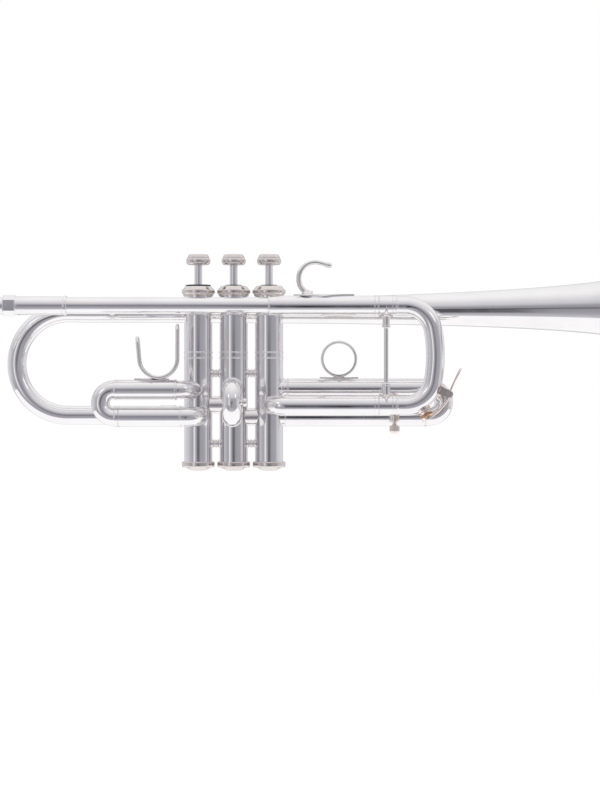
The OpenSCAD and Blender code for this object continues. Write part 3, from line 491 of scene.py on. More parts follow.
low, high = corners("main_bow")
bow_r, bow_bore = 6.45, 5.85
corner_x, corner_r, far_r = 118.8, 20, 103.5
corner_turn = 80
middle_z = (pipe_z + low_leg_z) / 2
corner_low_z, corner_high_z = low_leg_z + corner_r, pipe_z - corner_r
far_x = corner_x - (far_r - corner_r) * math.cos(math.radians(90 - corner_turn))
main_bow = draw_tube("main_bow_tube", (low.x, pipe_y, low_leg_z), along_x, bow_r, [
    (corner_x - low.x, bow_r),
    ("bend", (corner_x, pipe_y, corner_low_z), (0, -1, 0), corner_turn, 28),
    ("bend", (far_x, pipe_y, middle_z), (0, -1, 0), 180 - 2 * corner_turn, 16),
    ("bend", (corner_x, pipe_y, corner_high_z), (0, -1, 0), corner_turn, 28),
    (corner_x - low.x, bow_r)], bore=bow_bore)
silver_bows = silver_plate("silver_bows")
finish_piece(main_bow, silver_bows, "main_slide", ["main_bow"])

low, high = corners("main_ferrules")
ferrule = draw_tube("ferrule", (low.x, pipe_y, low_leg_z), along_x, sleeve_r, [
    (high.x - low.x - 4.2, sleeve_r), *bead(0.8, proud=0.25), (1.5, sleeve_r), *bead(0.8, proud=0.25),
    (0.5, sleeve_r - 0.1), (0.6, bow_r + 0.05)], bore=bow_r - 0.02)
upper_ferrule = another(ferrule, "ferrule", (0, 0, pipe_z - low_leg_z))
finish_piece(join_pieces([ferrule, upper_ferrule], "main_slide_ferrules"), silver_along_x, "main_slide",
             ["main_ferrules"], edge=0.06)


def diamond_foot(name, centre, length, half_width, tube_r, thick, up, along=along_x):
    """A thin diamond plate hammered round a tube, to spread a soldered joint. up leads away from the tube."""
    up, along = Vector(up), Vector(along)
    across = up.cross(along)
    bpy.ops.object.select_all(action="DESELECT")
    bpy.ops.mesh.primitive_cylinder_add(vertices=96, radius=(tube_r + thick) * MM, depth=length * 1.1 * MM)
    foot = bpy.context.object
    foot.name = foot.data.name = name
    laid = Matrix.Translation(Vector(centre) * MM) @ along.to_track_quat("Z", "Y").to_matrix().to_4x4()
    foot.matrix_world = laid
    bpy.ops.object.transform_apply(location=True, rotation=True, scale=True)
    bpy.ops.mesh.primitive_cylinder_add(vertices=4, radius=1, depth=(tube_r + 2) * MM)
    prism = bpy.context.object
    prism.matrix_world = Matrix.Translation((Vector(centre) + up * (tube_r / 2 + 1)) * MM) @ Matrix(
        (across * half_width * MM, along * length / 2 * MM, up)).transposed().to_4x4()
    bpy.ops.mesh.primitive_cylinder_add(vertices=96, radius=(tube_r - 0.02) * MM, depth=length * 2 * MM)
    rod = bpy.context.object
    rod.matrix_world = laid
    cut_piece(foot, prism, "INTERSECT")
    cut_piece(foot, rod, "DIFFERENCE")
    return foot


low, high = corners("main_brace")
brace_x = (low.x + high.x) / 2
brace_low, brace_high = low_leg_z + sleeve_r, pipe_z - sleeve_r
rod_r = 1.55
socket_line = [(0, 2.7), (6.6, 2.7), (6.9, 2.95), (7.9, 2.95), (8.2, 2.6), (8.6, 1.75), (9.0, rod_r)]
brace_line = [(-0.6, 2.7), *socket_line[1:]] + [
    (brace_high - brace_low - along_, r) for along_, r in reversed(socket_line[1:])] + [
    (brace_high - brace_low + 0.6, 2.7)]
brace_rod = turn_piece("brace_rod", (brace_x, pipe_y, brace_low), along_z, brace_line, 40)
feet = [diamond_foot("foot", (brace_x, pipe_y, pipe_z), 9.6, 7.2, sleeve_r, 1.2, -along_z),
        diamond_foot("foot", (brace_x, pipe_y, low_leg_z), 9.6, 7.2, sleeve_r, 1.2, along_z)]
silver_fittings = silver_plate("silver_fittings", colour=(0.88, 0.85, 0.84), roughness=0.1)
finish_piece(join_pieces([brace_rod, *feet], "main_slide_brace"), silver_fittings, "main_slide",
             ["main_brace"], edge=0.1)

# ---- Water key ----
# A drain on the low corner of the bow: a turned nipple stopped by a cork, in a cast lever that a coil
# spring holds shut. Two cast ears soldered to the bow carry the pivot screw.

drain_a, pivot_a, tab_a = 29, 66, 62.8
bow_middle = Vector((corner_x, pipe_y, low_leg_z + 21.3))


def from_corner(angle, out):
    angle = math.radians(angle)
    return bow_middle + out * Vector((math.sin(angle), 0, -math.cos(angle)))


def turned_to(piece, place, up, along):
    """Moves a piece made upright at the origin to its place, with its Z along up and its X along along."""
    up, along = Vector(up).normalized(), Vector(along).normalized()
    across = up.cross(along)
    use_alone(piece)
    turned = Matrix((along, across, up)).transposed().to_4x4()
    piece.matrix_world = Matrix.Translation(Vector(place) * MM) @ turned
    bpy.ops.object.transform_apply(location=True, rotation=True, scale=True)
    return piece


def select_where(piece, test):
    """Selects the vertices, in millimetres, that pass the test, and leaves edit mode open."""
    bpy.ops.object.mode_set(mode="EDIT")
    bpy.ops.mesh.select_mode(type="VERT")
    bpy.ops.mesh.select_all(action="DESELECT")
    bpy.ops.object.mode_set(mode="OBJECT")
    for vertex in piece.data.vertices:
        vertex.select = test(vertex.co / MM)
    bpy.ops.object.mode_set(mode="EDIT")


drain_out = (from_corner(drain_a, 1) - bow_middle).normalized()
nipple = turn_piece("nipple", from_corner(drain_a, 0), drain_out, [
    (26, 1.7), (26, 4.8), (27.9, 4.8), (28.4, 4.5), (28.7, 3.6), (29.2, 3.25), (30.4, 3.25), (30.55, 3.1),
    (30.55, 1.7), (26, 1.7)], 40)
pivot = from_corner(pivot_a, 33.2)
pivot_out = (pivot - bow_middle).normalized()
pivot_along = Vector((pivot_out.z * -1, 0, pivot_out.x))
ear_l, ear_side = 6.4, 4
bpy.ops.object.select_all(action="DESELECT")
bpy.ops.mesh.primitive_cylinder_add(
    vertices=32, radius=2.4 * MM, depth=1.4 * MM, rotation=(math.pi / 2, 0, 0))
ear = bpy.context.object
bpy.ops.object.transform_apply(rotation=True)
select_where(ear, lambda place: place.z < -0.01)
bpy.ops.transform.translate(value=(0, 0, -ear_l * MM))
bpy.ops.transform.resize(value=(1.25, 1, 1), center_override=(0, 0, -ear_l * MM))
bpy.ops.object.mode_set(mode="OBJECT")
turned_to(ear, pivot - along_y * ear_side, pivot_out, -pivot_along)
far_ear = another(ear, "ear", along_y * 2 * ear_side)
bpy.ops.object.select_all(action="DESELECT")
bpy.ops.mesh.primitive_cylinder_add(vertices=40, radius=5 * MM, depth=2.6 * MM)
pad = bpy.context.object
select_where(pad, lambda place: place.z > 0)
bpy.ops.transform.resize(value=(0.86, 0.86, 1), center_override=(0, 0, 0))
bpy.ops.object.mode_set(mode="OBJECT")
turned_to(pad, from_corner(pivot_a, 27.2), pivot_out, -pivot_along)
silver_cast = silver_plate("silver_cast", colour=(0.87, 0.78, 0.71), roughness=0.11)
finish_piece(join_pieces([nipple, ear, far_ear, pad], "water_key_saddle"), silver_cast, "main_slide",
             ["water_key_seat"], edge=0.15)
for node in ("water_key_screw", "water_key_spring"):
    cad_finish(node, slide_nickel)

cup_shell = turn_piece("cup", from_corner(drain_a, 0), drain_out, [
    (34.34, 0), (34.34, 4.34), (32.25, 4.34), (32.25, 4.9), (32.5, 5), (34.5, 5), (35.1, 4.6),
    (35.25, 0)], 40)
drain_round = Vector((math.cos(math.radians(drain_a)), 0, math.sin(math.radians(drain_a))))
arm = draw_tube("arm", from_corner(drain_a, 34.2), drain_round, 1.0, [
    ("bend", bow_middle, (0, -1, 0), pivot_a - drain_a, 14)], 20)
select_where(arm, lambda place: True)
bpy.ops.transform.resize(value=(1, 1.35, 1), center_override=(0, pipe_y * MM, 0))
bpy.ops.object.mode_set(mode="OBJECT")
barrel = turn_piece("barrel", pivot, along_y, [
    (-3.0, 1.05), (-3.0, 2.1), (-2.8, 2.3), (0.7, 2.3), (0.9, 2.1), (0.9, 1.05), (-3.0, 1.05)], 32)
bpy.ops.object.select_all(action="DESELECT")
tab_l, tab_rows, tab_sag = 20, 12, 0.9
bpy.ops.mesh.primitive_grid_add(
    x_subdivisions=tab_rows, y_subdivisions=5, size=tab_l * MM, location=(tab_l / 2 * MM, 0, 0))
tab = bpy.context.object
bpy.ops.object.transform_apply(location=True)
tab_widths = [0.24, 0.2, 0.17, 0.16, 0.17, 0.21, 0.28, 0.35, 0.41, 0.45, 0.44, 0.36, 0.17]
for row, share in enumerate(tab_widths):
    row_x = tab_l * row / tab_rows
    select_where(tab, lambda place, x=row_x: abs(place.x - x) < 0.3)
    bpy.ops.transform.resize(value=(1, share, 1), center_override=(0, 0, 0))
    bpy.ops.transform.translate(value=(0, -tab_sag * MM * max(0, 1 - row / 6), 0))
    bpy.ops.object.mode_set(mode="OBJECT")
thick = tab.modifiers.new("thick", "SOLIDIFY")
thick.thickness, thick.offset = 1.3 * MM, 0
soft = tab.modifiers.new("soft", "SUBSURF")
soft.levels = soft.render_levels = 2
use_alone(tab)
for step in ("thick", "soft"):
    bpy.ops.object.modifier_apply(modifier=step)
tab_dir = Vector((math.cos(math.radians(tab_a)), 0, math.sin(math.radians(tab_a))))
turned_to(tab, pivot, pivot_out, tab_dir)
finish_piece(join_pieces([cup_shell, arm, barrel, tab], "water_key_lever_cast"), silver_cast, "water_key",
             ["water_key_lever"], edge=0.08)

cork = turn_piece("water_key_stopper", from_corner(drain_a, 0), drain_out, [
    (30.75, 0), (30.75, 2.6), (30.85, 3.9), (31.1, 4.2), (31.6, 4.3), (34.3, 4.3), (34.3, 0)], 40)

cork_bark, nodes, links, shader = start_material("cork_bark")
shader.inputs["Roughness"].default_value = 0.8
place = nodes.new("ShaderNodeTexCoord")
cells = set_sockets(nodes.new("ShaderNodeTexVoronoi"), Scale=1400)
links.new(place.outputs["Object"], cells.inputs["Vector"])
blotches = set_sockets(nodes.new("ShaderNodeTexNoise"), Scale=500, Detail=4)
links.new(place.outputs["Object"], blotches.inputs["Vector"])
brown = colour_ramp(nodes, links, blotches.outputs["Fac"], [
    (0.3, (0.33, 0.12, 0.03)), (0.62, (0.78, 0.36, 0.1))])
links.new(brown, shader.inputs["Base Color"])
raise_surface(nodes, links, shader, cells.outputs["Distance"], 0.4, 0.0001)
finish_piece(cork, cork_bark, "water_key", ["water_key_cork"], edge=0)

# ---- Finger hook ----
# Bent brass wire that swells to a ball at its tip and spreads at its foot, hard-soldered to a long leaf on
# the main slide's upper sleeve.

hook_x, hook_z, hook_r = 56.9, 68.2, 11.4
tip_a = math.radians(75)
tip_l = 8.9
hook_pivot = Vector((hook_x, pipe_y, hook_z))
tip_way = Vector((math.sin(tip_a), 0, -math.cos(tip_a)))
tip_start = hook_pivot + hook_r * Vector((math.cos(tip_a), 0, math.sin(tip_a))) + tip_l * tip_way
hook_wire = draw_tube("hook_wire", tip_start, -tip_way, 0.6, [
    (0.25, 1.15), (0.45, 1.6), (0.6, 1.95), (0.8, 2.1), (0.9, 2.05), (1.1, 1.85), (1.5, 1.7), (1.5, 1.62),
    (1.8, 1.6),
    ("bend", hook_pivot, (0, -1, 0), 60, 12, 1.68), ("bend", hook_pivot, (0, -1, 0), 60, 12, 1.8),
    ("bend", hook_pivot, (0, -1, 0), 45, 9, 2.0), ("bend", hook_pivot, (0, -1, 0), 20, 5, 3.0)], 32)
hook_foot = turn_piece("hook_foot", (hook_x - 6.1, pipe_y, 56.4), along_z, [
    (0, 5.2), (0.6, 4.6), (1.2, 3.6), (1.8, 2.9), (2.6, 2.3), (3.6, 1.9), (4.2, 1.2)], 40)
hook = join_pieces([hook_wire, hook_foot], "hook_part")
use_alone(hook)
weld = hook.modifiers.new("weld", "REMESH")
weld.mode = "VOXEL"
weld.voxel_size = 0.28 * MM
weld.use_smooth_shade = True
bpy.ops.object.modifier_apply(modifier="weld")
polish = hook.modifiers.new("polish", "SMOOTH")
polish.factor = 0.6
polish.iterations = 9
bpy.ops.object.modifier_apply(modifier="polish")
leaf = diamond_foot("leaf", (hook_x + 6, pipe_y, pipe_z), 42, 4.6, sleeve_r, 1.1, along_z)
finish_piece(join_pieces([hook, leaf], "finger_hook"), silver_fittings, "body", ["pinky_hook"], edge=0)

# ---- Bell ----
# One sheet of brass hammered on a mandrel: a straight tail, the bow, the long stem and the flare, with
# the rim rolled over a wire. It is silver plated inside and out.

bell_y, tail_z, tail_end_x, tail_r = 20, -26.5, -47, 6.6
bell_bow_x, rise = -117.9, 0.53
bell_wall = 0.6
bell_bow_r = (pipe_z - 3.5 - tail_z) / 2
bell_bow_z = tail_z + bell_bow_r
rim_x, rim_r, rim_bead = 344, 61.1, 1.2
stem_l = (rim_x - bell_bow_x + bell_bow_r * math.sin(math.radians(rise))) / math.cos(math.radians(rise))
flare_offset, flare_power = 20, 0.73
flare_size = (rim_r - 1) * flare_offset ** flare_power


def flare_r(from_rim):
    return 1 + flare_size / (from_rim + flare_offset) ** flare_power


blend_l, flare_steps = 18, 54
stem_line = [(0, tail_r)]
for k in range(1, 7):
    share = k / 6
    soft_share = share * share * (3 - 2 * share)
    stem_line.append((share * blend_l, tail_r + (flare_r(stem_l - blend_l) - tail_r) * soft_share))
for k in range(flare_steps - 1, 1, -1):
    from_rim = (stem_l - blend_l) * (k / flare_steps) ** 2
    if from_rim > 1.9:
        stem_line.append((stem_l - from_rim, flare_r(from_rim)))
outer_line = stem_line + [(stem_l - 1.9, 57.9), (stem_l - 1.8, 58.6)]
for k in range(13):
    angle = math.radians(235 - k * 290 / 12)
    outer_line.append((
        stem_l - rim_bead + rim_bead * math.cos(angle), rim_r - rim_bead + rim_bead * math.sin(angle)))
outer_line.append((stem_l - 1.1, 58.0))
inner_line = [(along_, r - bell_wall) for along_, r in reversed(stem_line)]
bell_line = outer_line + inner_line
tail_l = tail_end_x - bell_bow_x
bell_bend = ("bend", (bell_bow_x, bell_y, bell_bow_z), (0, 1, 0), 180 - rise, 60)
bell = draw_tube("bell_sheet", (tail_end_x, bell_y, tail_z), -along_x, tail_r, [
    (tail_l, tail_r), bell_bend, *[(b[0] - a[0], b[1]) for a, b in zip(bell_line, bell_line[1:])],
    ("bend", bell_bend[1], bell_bend[2], -bell_bend[3], bell_bend[4]), (-tail_l, tail_r - bell_wall),
    (0, tail_r)], sides=112)
finish_piece(bell, silver_bows, "body", ["bell"], edge=0, smooth=50)

# ---- Bell elbow and braces ----
# A short elbow and its ringed ferrule lead the bell's tail into the first valve. Two turned braces on
# small plates tie the bell to the leadpipe side.

valve_pitch = 24.75
elbow_r = 9.5
elbow = draw_tube("elbow", (-valve_pitch, 3, tail_z), along_y, tail_r, [
    (bell_y - elbow_r - 3, tail_r),
    ("bend", (-valve_pitch - elbow_r, bell_y - elbow_r, tail_z), (0, 0, 1), 90, 22),
    (46.8 - valve_pitch - elbow_r, tail_r)], bore=5.85)
casing_trim(elbow, 1)
ferrule_r = tail_r + 0.35
ferrule = draw_tube("elbow_ferrule", (-52, bell_y, tail_z), along_x, ferrule_r, [
    *bead(1.0, ferrule_r, 0.35), (8, ferrule_r), *bead(1.0, ferrule_r, 0.35)], bore=tail_r)
finish_piece(join_pieces([elbow, ferrule], "bell_elbow_tube"), silver_bows, "body", ["bell_elbow"], edge=0.06)

braces = []
for brace_x, near_r in ((-86, pipe_r), (62, sleeve_r)):
    bell_r = flare_r((rim_x - brace_x) / math.cos(math.radians(rise)))
    near, far = pipe_y + near_r, bell_y - bell_r
    span = far - near
    half = [(0, 3.6), (0.9, 3.5), (1.5, 2.7), (2.3, 2.2), (3.0, 2.5), (3.6, 3.0), (4.2, 3.0), (4.8, 2.4),
            (5.6, 2.0)]
    braces.append(turn_piece("brace", (brace_x, near, pipe_z - 2), along_y, half + [
        (span - along_, r) for along_, r in reversed(half)], 40))
    braces.append(diamond_foot("foot", (brace_x, pipe_y, pipe_z), 15, 5.5, near_r, 0.8, along_y))
    stem_z = bell_bow_z + bell_bow_r + (brace_x - bell_bow_x) * math.tan(math.radians(rise))
    braces.append(diamond_foot("foot", (brace_x, bell_y, stem_z), 15, 5.5, bell_r, 0.8, -along_y))
finish_piece(join_pieces(braces, "bell_brace_pair"), silver_fittings, "body", ["bell_braces"], edge=0.1)

# ---- Valve block ----
# Three drawn casings with a pair of turned lines, spaced by six turned braces, with the short tubes that
# carry the air from valve to valve soldered in between.

silver_casings = silver_plate("silver_casings", colour=(0.86, 0.845, 0.85), grain=(1, 1, 0.05))


def for_each_valve(first, name):
    """The first valve's piece, and two copies of it for the other valves."""
    first.name = first.data.name = f"{name}_1"
    copies = [another(first, f"{name}_{valve}", ((valve - 1) * valve_pitch, 0, 0)) for valve in (2, 3)]
    return [first, *copies]


low, high = corners("casing_1")
length = high.z - low.z
casing_r, casing_bore = 9.75, 8.5
outline = [(0, casing_bore), (0, casing_r)]
for line in (13.6 - low.z, 17.5 - low.z):
    outline += [(line - 0.55, casing_r), (line - 0.45, 10.05), (line - 0.2, 10.15), (line + 0.2, 10.15),
                (line + 0.45, 10.05), (line + 0.55, casing_r)]
outline += [(length, casing_r), (length, casing_bore), (0, casing_bore)]
casing = turn_piece("casing", (-valve_pitch, 0, low.z), along_z, outline, 96)
for valve, casing in enumerate(for_each_valve(casing, "valve_casing"), 1):
    finish_piece(casing, silver_casings, "body", [f"casing_{valve}"], edge=0.05)

spool = turn_piece("spool", (-valve_pitch / 2, 0, 0), along_x, [
    (-3.4, 3.3), (-2.3, 3.3), (-1.7, 2.9), (-1.2, 2.2), (-0.8, 2.3), (-0.5, 2.9), (0, 3.05), (0.5, 2.9),
    (0.8, 2.3), (1.2, 2.2), (1.7, 2.9), (2.3, 3.3), (3.4, 3.3)], 40)
spools = [another(spool, "spool", (gap_x, 0, spool_z))
          for gap_x in (0, valve_pitch) for spool_z in (45.1, 2.8, -46.2)]
bpy.data.objects.remove(spool)
finish_piece(join_pieces(spools, "valve_spools"), silver_fittings, "body", ["valve_braces"], edge=0.05)
knuckle_r, knuckle_l = 6.1, 10
knuckle = draw_tube("knuckle", ((-valve_pitch - knuckle_l) / 2, 0, -19.1), along_x, knuckle_r, [
    (knuckle_l, knuckle_r)], bore=5.6)
for valve in (1, 2):
    casing_trim(knuckle, valve)
low_knuckle = another(knuckle, "knuckle", (valve_pitch, 0, -8.4))
finish_piece(join_pieces([knuckle, low_knuckle], "valve_knuckle_tubes"), silver_fittings, "body",
             ["valve_knuckles"], edge=0.05)

# ---- Valve caps and felts ----
# Caps screw on to both ends of each casing: a domed top cap with a finger bead and a felt under the
# button, and a shallow bottom cap with a vent hole.

silver_caps = silver_plate("silver_caps", colour=(0.76, 0.71, 0.68), roughness=0.1)
top_cap = turn_piece("top_cap", (-valve_pitch, 0, 0), along_z, [
    (56.9, 9.85), (56.9, 10.55), (58.0, 10.6), (58.3, 10.85), (58.5, 11.25), (58.9, 11.5), (59.3, 11.6),
    (60.5, 11.65), (60.9, 11.55), (61.15, 11.3), (61.25, 10.95), (61.45, 10.85), (63.5, 9.15), (63.85, 8.7),
    (64.05, 8.1), (64.1, 7.4), (64.1, 5.6), (62.7, 5.6), (62.7, 3.3), (61.2, 3.3), (61.2, 9.85),
    (56.9, 9.85)], 72)
bottom_cap = turn_piece("bottom_cap", (-valve_pitch, 0, 0), along_z, [
    (-58.8, 9.85), (-58.8, 10.8), (-59.1, 11.2), (-59.5, 11.45), (-61.6, 11.45), (-62.1, 11.3),
    (-62.5, 10.95), (-62.75, 10.5), (-62.9, 9.6), (-63.1, 8.2), (-63.6, 7.3), (-64.1, 6.5), (-64.6, 5.6),
    (-64.9, 4.6), (-65.05, 3.2), (-65.1, 1.5), (-63.6, 1.5), (-63.0, 5.6), (-61.8, 9.85), (-58.8, 9.85)], 72)
for first_cap, node in ((top_cap, "top_cap"), (bottom_cap, "bottom_cap")):
    for valve, cap in enumerate(for_each_valve(first_cap, f"valve_{node}"), 1):
        finish_piece(cap, silver_caps, "body", [f"{node}_{valve}"], edge=0.05)

felt, nodes, links, shader = start_material("black_felt")
set_sockets(shader, Roughness=0.95, Sheen_Weight=0.4)
place = nodes.new("ShaderNodeTexCoord")
fibres = set_sockets(nodes.new("ShaderNodeTexNoise"), Scale=1500, Detail=6)
links.new(place.outputs["Object"], fibres.inputs["Vector"])
dark = colour_ramp(nodes, links, fibres.outputs["Fac"], [
    (0, (0.008, 0.008, 0.009)), (1, (0.06, 0.058, 0.06))])
links.new(dark, shader.inputs["Base Color"])
raise_surface(nodes, links, shader, fibres.outputs["Fac"], 0.8, 0.0002)
felts = [turn_piece("felt", (felt_x, 0, 62.75), along_z, [
    (0, 3.25), (0, 5.5), (1.38, 5.5), (1.4, brim), (1.8, brim), (1.95, brim - 0.2), (2.0, brim - 0.6),
    (2.0, 3.5), (1.8, 3.25), (0, 3.25)], 48) for felt_x, brim in ((-valve_pitch, 8.8), (0, 5.8))]
felts.append(another(felts[1], "felt", (valve_pitch, 0, 0)))
finish_piece(join_pieces(felts, "valve_felts"), felt, "body", ["cap_felts"], edge=0)

# ---- Pistons, springs, stems and buttons ----
# Ground pistons slide in the casings on coil springs. The stem is turned brass, and the finger button
# screws on to it, with a mother-of-pearl disc set in its top.

piston_metal = silver_plate("piston_metal", colour=(0.6, 0.57, 0.53), roughness=0.2, grain=(1, 1, 0.04))
spring_steel = silver_plate("spring_wire", colour=(0.5, 0.5, 0.52), roughness=0.25)
cad_finish("valve_guides", piston_metal)
pearl_shell, nodes, links, shader = start_material("pearl_shell")
set_sockets(shader, Roughness=0.18, Coat_Weight=0.6)
place = nodes.new("ShaderNodeTexCoord")
waves = set_sockets(nodes.new("ShaderNodeTexWave"), Scale=60, Distortion=14, Detail=3)
links.new(place.outputs["Object"], waves.inputs["Vector"])
lustre = colour_ramp(nodes, links, waves.outputs["Color"], [
    (0, (0.72, 0.66, 0.66)), (0.5, (0.8, 0.86, 0.84)), (1, (0.93, 0.9, 0.86))])
links.new(lustre, shader.inputs["Base Color"])

for valve in (1, 2, 3):
    cad_finish(f"piston_{valve}", piston_metal)
    cad_finish(f"spring_{valve}", spring_steel)
stem = turn_piece("stem", (-valve_pitch, 0, 0), along_z, [
    (55.6, 0), (55.6, 2), (58, 2), (58, 6.4), (60.6, 6.4), (60.7, 6.2), (60.7, 3.1), (60.9, 2.85),
    (61.3, 2.75), (78.3, 2.75), (78.75, 2.5), (78.75, 1.6), (81.7, 1.6), (81.7, 0)], 48)
for valve, stem in enumerate(for_each_valve(stem, "valve_stem"), 1):
    finish_piece(stem, silver_casings, f"valve_{valve}", [f"stem_{valve}"], edge=0.05)
button = turn_piece("button", (-valve_pitch, 0, 0), along_z, [
    (78.75, 1.7), (78.75, 5.6), (78.85, 7.2), (79.3, 7.75), (79.9, 8.15), (80.6, 8.38), (81.4, 8.45),
    (82.2, 8.4), (82.9, 8.15), (83.3, 7.75), (83.45, 7.55), (83.6, 7.7), (83.9, 7.6), (84.6, 7.3),
    (85.4, 6.9), (85.9, 6.5), (86.1, 6.2), (86.1, 6.0), (85.2, 6.0), (85.2, 1.7), (78.75, 1.7)], 72)
for valve, button in enumerate(for_each_valve(button, "finger_button"), 1):
    finish_piece(button, silver_caps, f"valve_{valve}", [f"button_{valve}"], edge=0)
pearl = turn_piece("pearl", (-valve_pitch, 0, 85.25), along_z, [
    (0, 0), (0, 5.95), (0.55, 5.95), (0.68, 5.8), (0.75, 5.2), (0.8, 3.5), (0.82, 1.5), (0.83, 0)], 48)
for valve, pearl in enumerate(for_each_valve(pearl, "button_pearl"), 1):
    finish_piece(pearl, pearl_shell, f"valve_{valve}", [f"pearl_{valve}"], edge=0)

# ---- First slide ----
# The short slide on the mouthpiece side: its upper sleeve moves over a fixed leg, its lower leg moves in a
# fixed sleeve, and a crook joins the two. The thumb saddle is bent strip on a diamond foot.

first_high, first_low = -8.7, -27.3
first_turn_a, first_turn_r, leg_r, leg_bore = 63, 6.9, 6.35, 5.85
turn = math.radians(first_turn_a)
way_in = Vector((math.cos(turn), math.sin(turn), 0))
stub_l = (-pipe_y - first_turn_r * (1 - math.cos(turn))) / math.sin(turn)
stub_end = Vector((-valve_pitch, 0, first_high)) - way_in * stub_l
bend_side = Vector((-way_in.y, way_in.x, 0))
first_leg = draw_tube("first_upper_leg", Vector((-valve_pitch, 0, first_high)) - way_in * 3, -way_in, leg_r, [
    (stub_l - 3, leg_r), ("bend", stub_end + bend_side * first_turn_r, (0, 0, 1), -first_turn_a, 18),
    (34.6, leg_r)], bore=leg_bore)
casing_trim(first_leg, 1)
low_turn_r = 8
first_crook_x = -82.4
sleeve_start, line_x = first_crook_x + 3, -37.3
first_lower = draw_tube("first_lower_sleeve", (-valve_pitch, -2, first_low), -along_y, sleeve_r, [
    (-pipe_y - low_turn_r - 2, sleeve_r),
    ("bend", (-valve_pitch - low_turn_r, pipe_y + low_turn_r, first_low), (0, 0, 1), -90, 20),
    (-line_x - 2 - valve_pitch - low_turn_r, sleeve_r), *bead(2.0),
    (line_x - sleeve_start - 1.0, sleeve_r), *bead(1.0)], bore=sleeve_bore)
casing_trim(first_lower, 1)
finish_piece(join_pieces([first_leg, first_lower], "first_slide_fixed"), silver_along_x, "body",
             ["first_fixed_tubes"], edge=0.06)

low, high = corners("first_moving_tubes")
first_sleeve = draw_tube("first_upper_sleeve", (low.x, pipe_y, first_high), along_x, sleeve_r, [
    (high.x - low.x - 2, sleeve_r), *bead(2.0)], bore=sleeve_bore)
first_inner = draw_tube("first_lower_leg", (low.x, pipe_y, first_low), along_x, leg_r, [
    (-44 - low.x, leg_r)], bore=leg_bore)
finish_piece(join_pieces([first_sleeve, first_inner], "first_slide_moving"), silver_along_x, "first_slide",
             ["first_moving_tubes"], edge=0.06)
crook_r = (first_high - first_low) / 2
ring_r = sleeve_r + 0.2
first_crook = draw_tube("first_crook_tube", (first_crook_x, pipe_y, first_high), -along_x, bow_r, [
    ("bend", (first_crook_x, pipe_y, first_low + crook_r), (0, -1, 0), 180, 44)], bore=bow_bore)
first_end = draw_tube("crook_end", (first_crook_x, pipe_y, first_high), along_x, bow_r + 0.1, [
    (0.4, sleeve_r), (0.5, sleeve_r), (0, ring_r), (0.7, ring_r), (0, sleeve_r), (1.1, sleeve_r)],
    bore=bow_bore)
low_end = another(first_end, "crook_end", (0, 0, -2 * crook_r))
finish_piece(join_pieces([first_crook, first_end, low_end], "first_slide_crook"), silver_bows,
             "first_slide", ["first_crook"], edge=0.05)

saddle_x, saddle_z, saddle_r = -51.6, 13, 13.2
near_arm, far_arm, far_lean = 24, 16.5, 5
strip_w, strip_t = 10, 2.4
bpy.ops.object.select_all(action="DESELECT")
bpy.ops.mesh.primitive_plane_add(size=strip_w * MM)
saddle = bpy.context.object
select_where(saddle, lambda place: place.x > 0)
bpy.ops.mesh.delete(type="VERT")
bpy.ops.object.mode_set(mode="OBJECT")
select_where(saddle, lambda place: True)
arm_top = Vector((saddle_x + saddle_r, pipe_y, saddle_z + near_arm))
bpy.ops.transform.translate(value=(arm_top + Vector((strip_w / 2, 0, 0))) * MM)
bpy.ops.mesh.extrude_region_move(TRANSFORM_OT_translate={"value": (0, 0, -near_arm * MM)})
bpy.ops.mesh.spin(steps=40, angle=-math.radians(180 - far_lean), axis=(0, 1, 0),
                  center=Vector((saddle_x, pipe_y, saddle_z)) * MM)
lean = math.radians(far_lean)
far_way = Vector((-math.sin(lean), 0, math.cos(lean)))
bpy.ops.mesh.extrude_region_move(TRANSFORM_OT_translate={"value": far_way * far_arm * MM})
bpy.ops.object.mode_set(mode="OBJECT")
select_where(saddle, lambda place: place.z > saddle_z + 14)
bpy.ops.mesh.bevel(offset=4.7 * MM, segments=8, affect="VERTICES", clamp_overlap=True)
bpy.ops.mesh.select_all(action="SELECT")
bpy.ops.mesh.normals_make_consistent(inside=False)
bpy.ops.object.mode_set(mode="OBJECT")
strip = saddle.modifiers.new("strip", "SOLIDIFY")
strip.thickness, strip.offset = strip_t * MM, 0
use_alone(saddle)
bpy.ops.object.modifier_apply(modifier="strip")
round_off = saddle.modifiers.new("round_off", "BEVEL")
round_off.width, round_off.segments = 1.1 * MM, 5
round_off.limit_method, round_off.angle_limit = "ANGLE", math.radians(50)
bpy.ops.object.modifier_apply(modifier="round_off")
saddle_foot = diamond_foot("foot", (saddle_x - 4.6, pipe_y, first_high), 24, 5.4, sleeve_r, 1.0, along_z)
finish_piece(join_pieces([saddle, saddle_foot], "thumb_saddle_strip"), silver_fittings, "first_slide",
             ["thumb_saddle"], edge=0)

# ---- Second slide ----
# The shortest slide sticks straight out of the middle valve: two sleeves, two legs and a tight crook, with
# a small turned knob on the crook to pull it by.

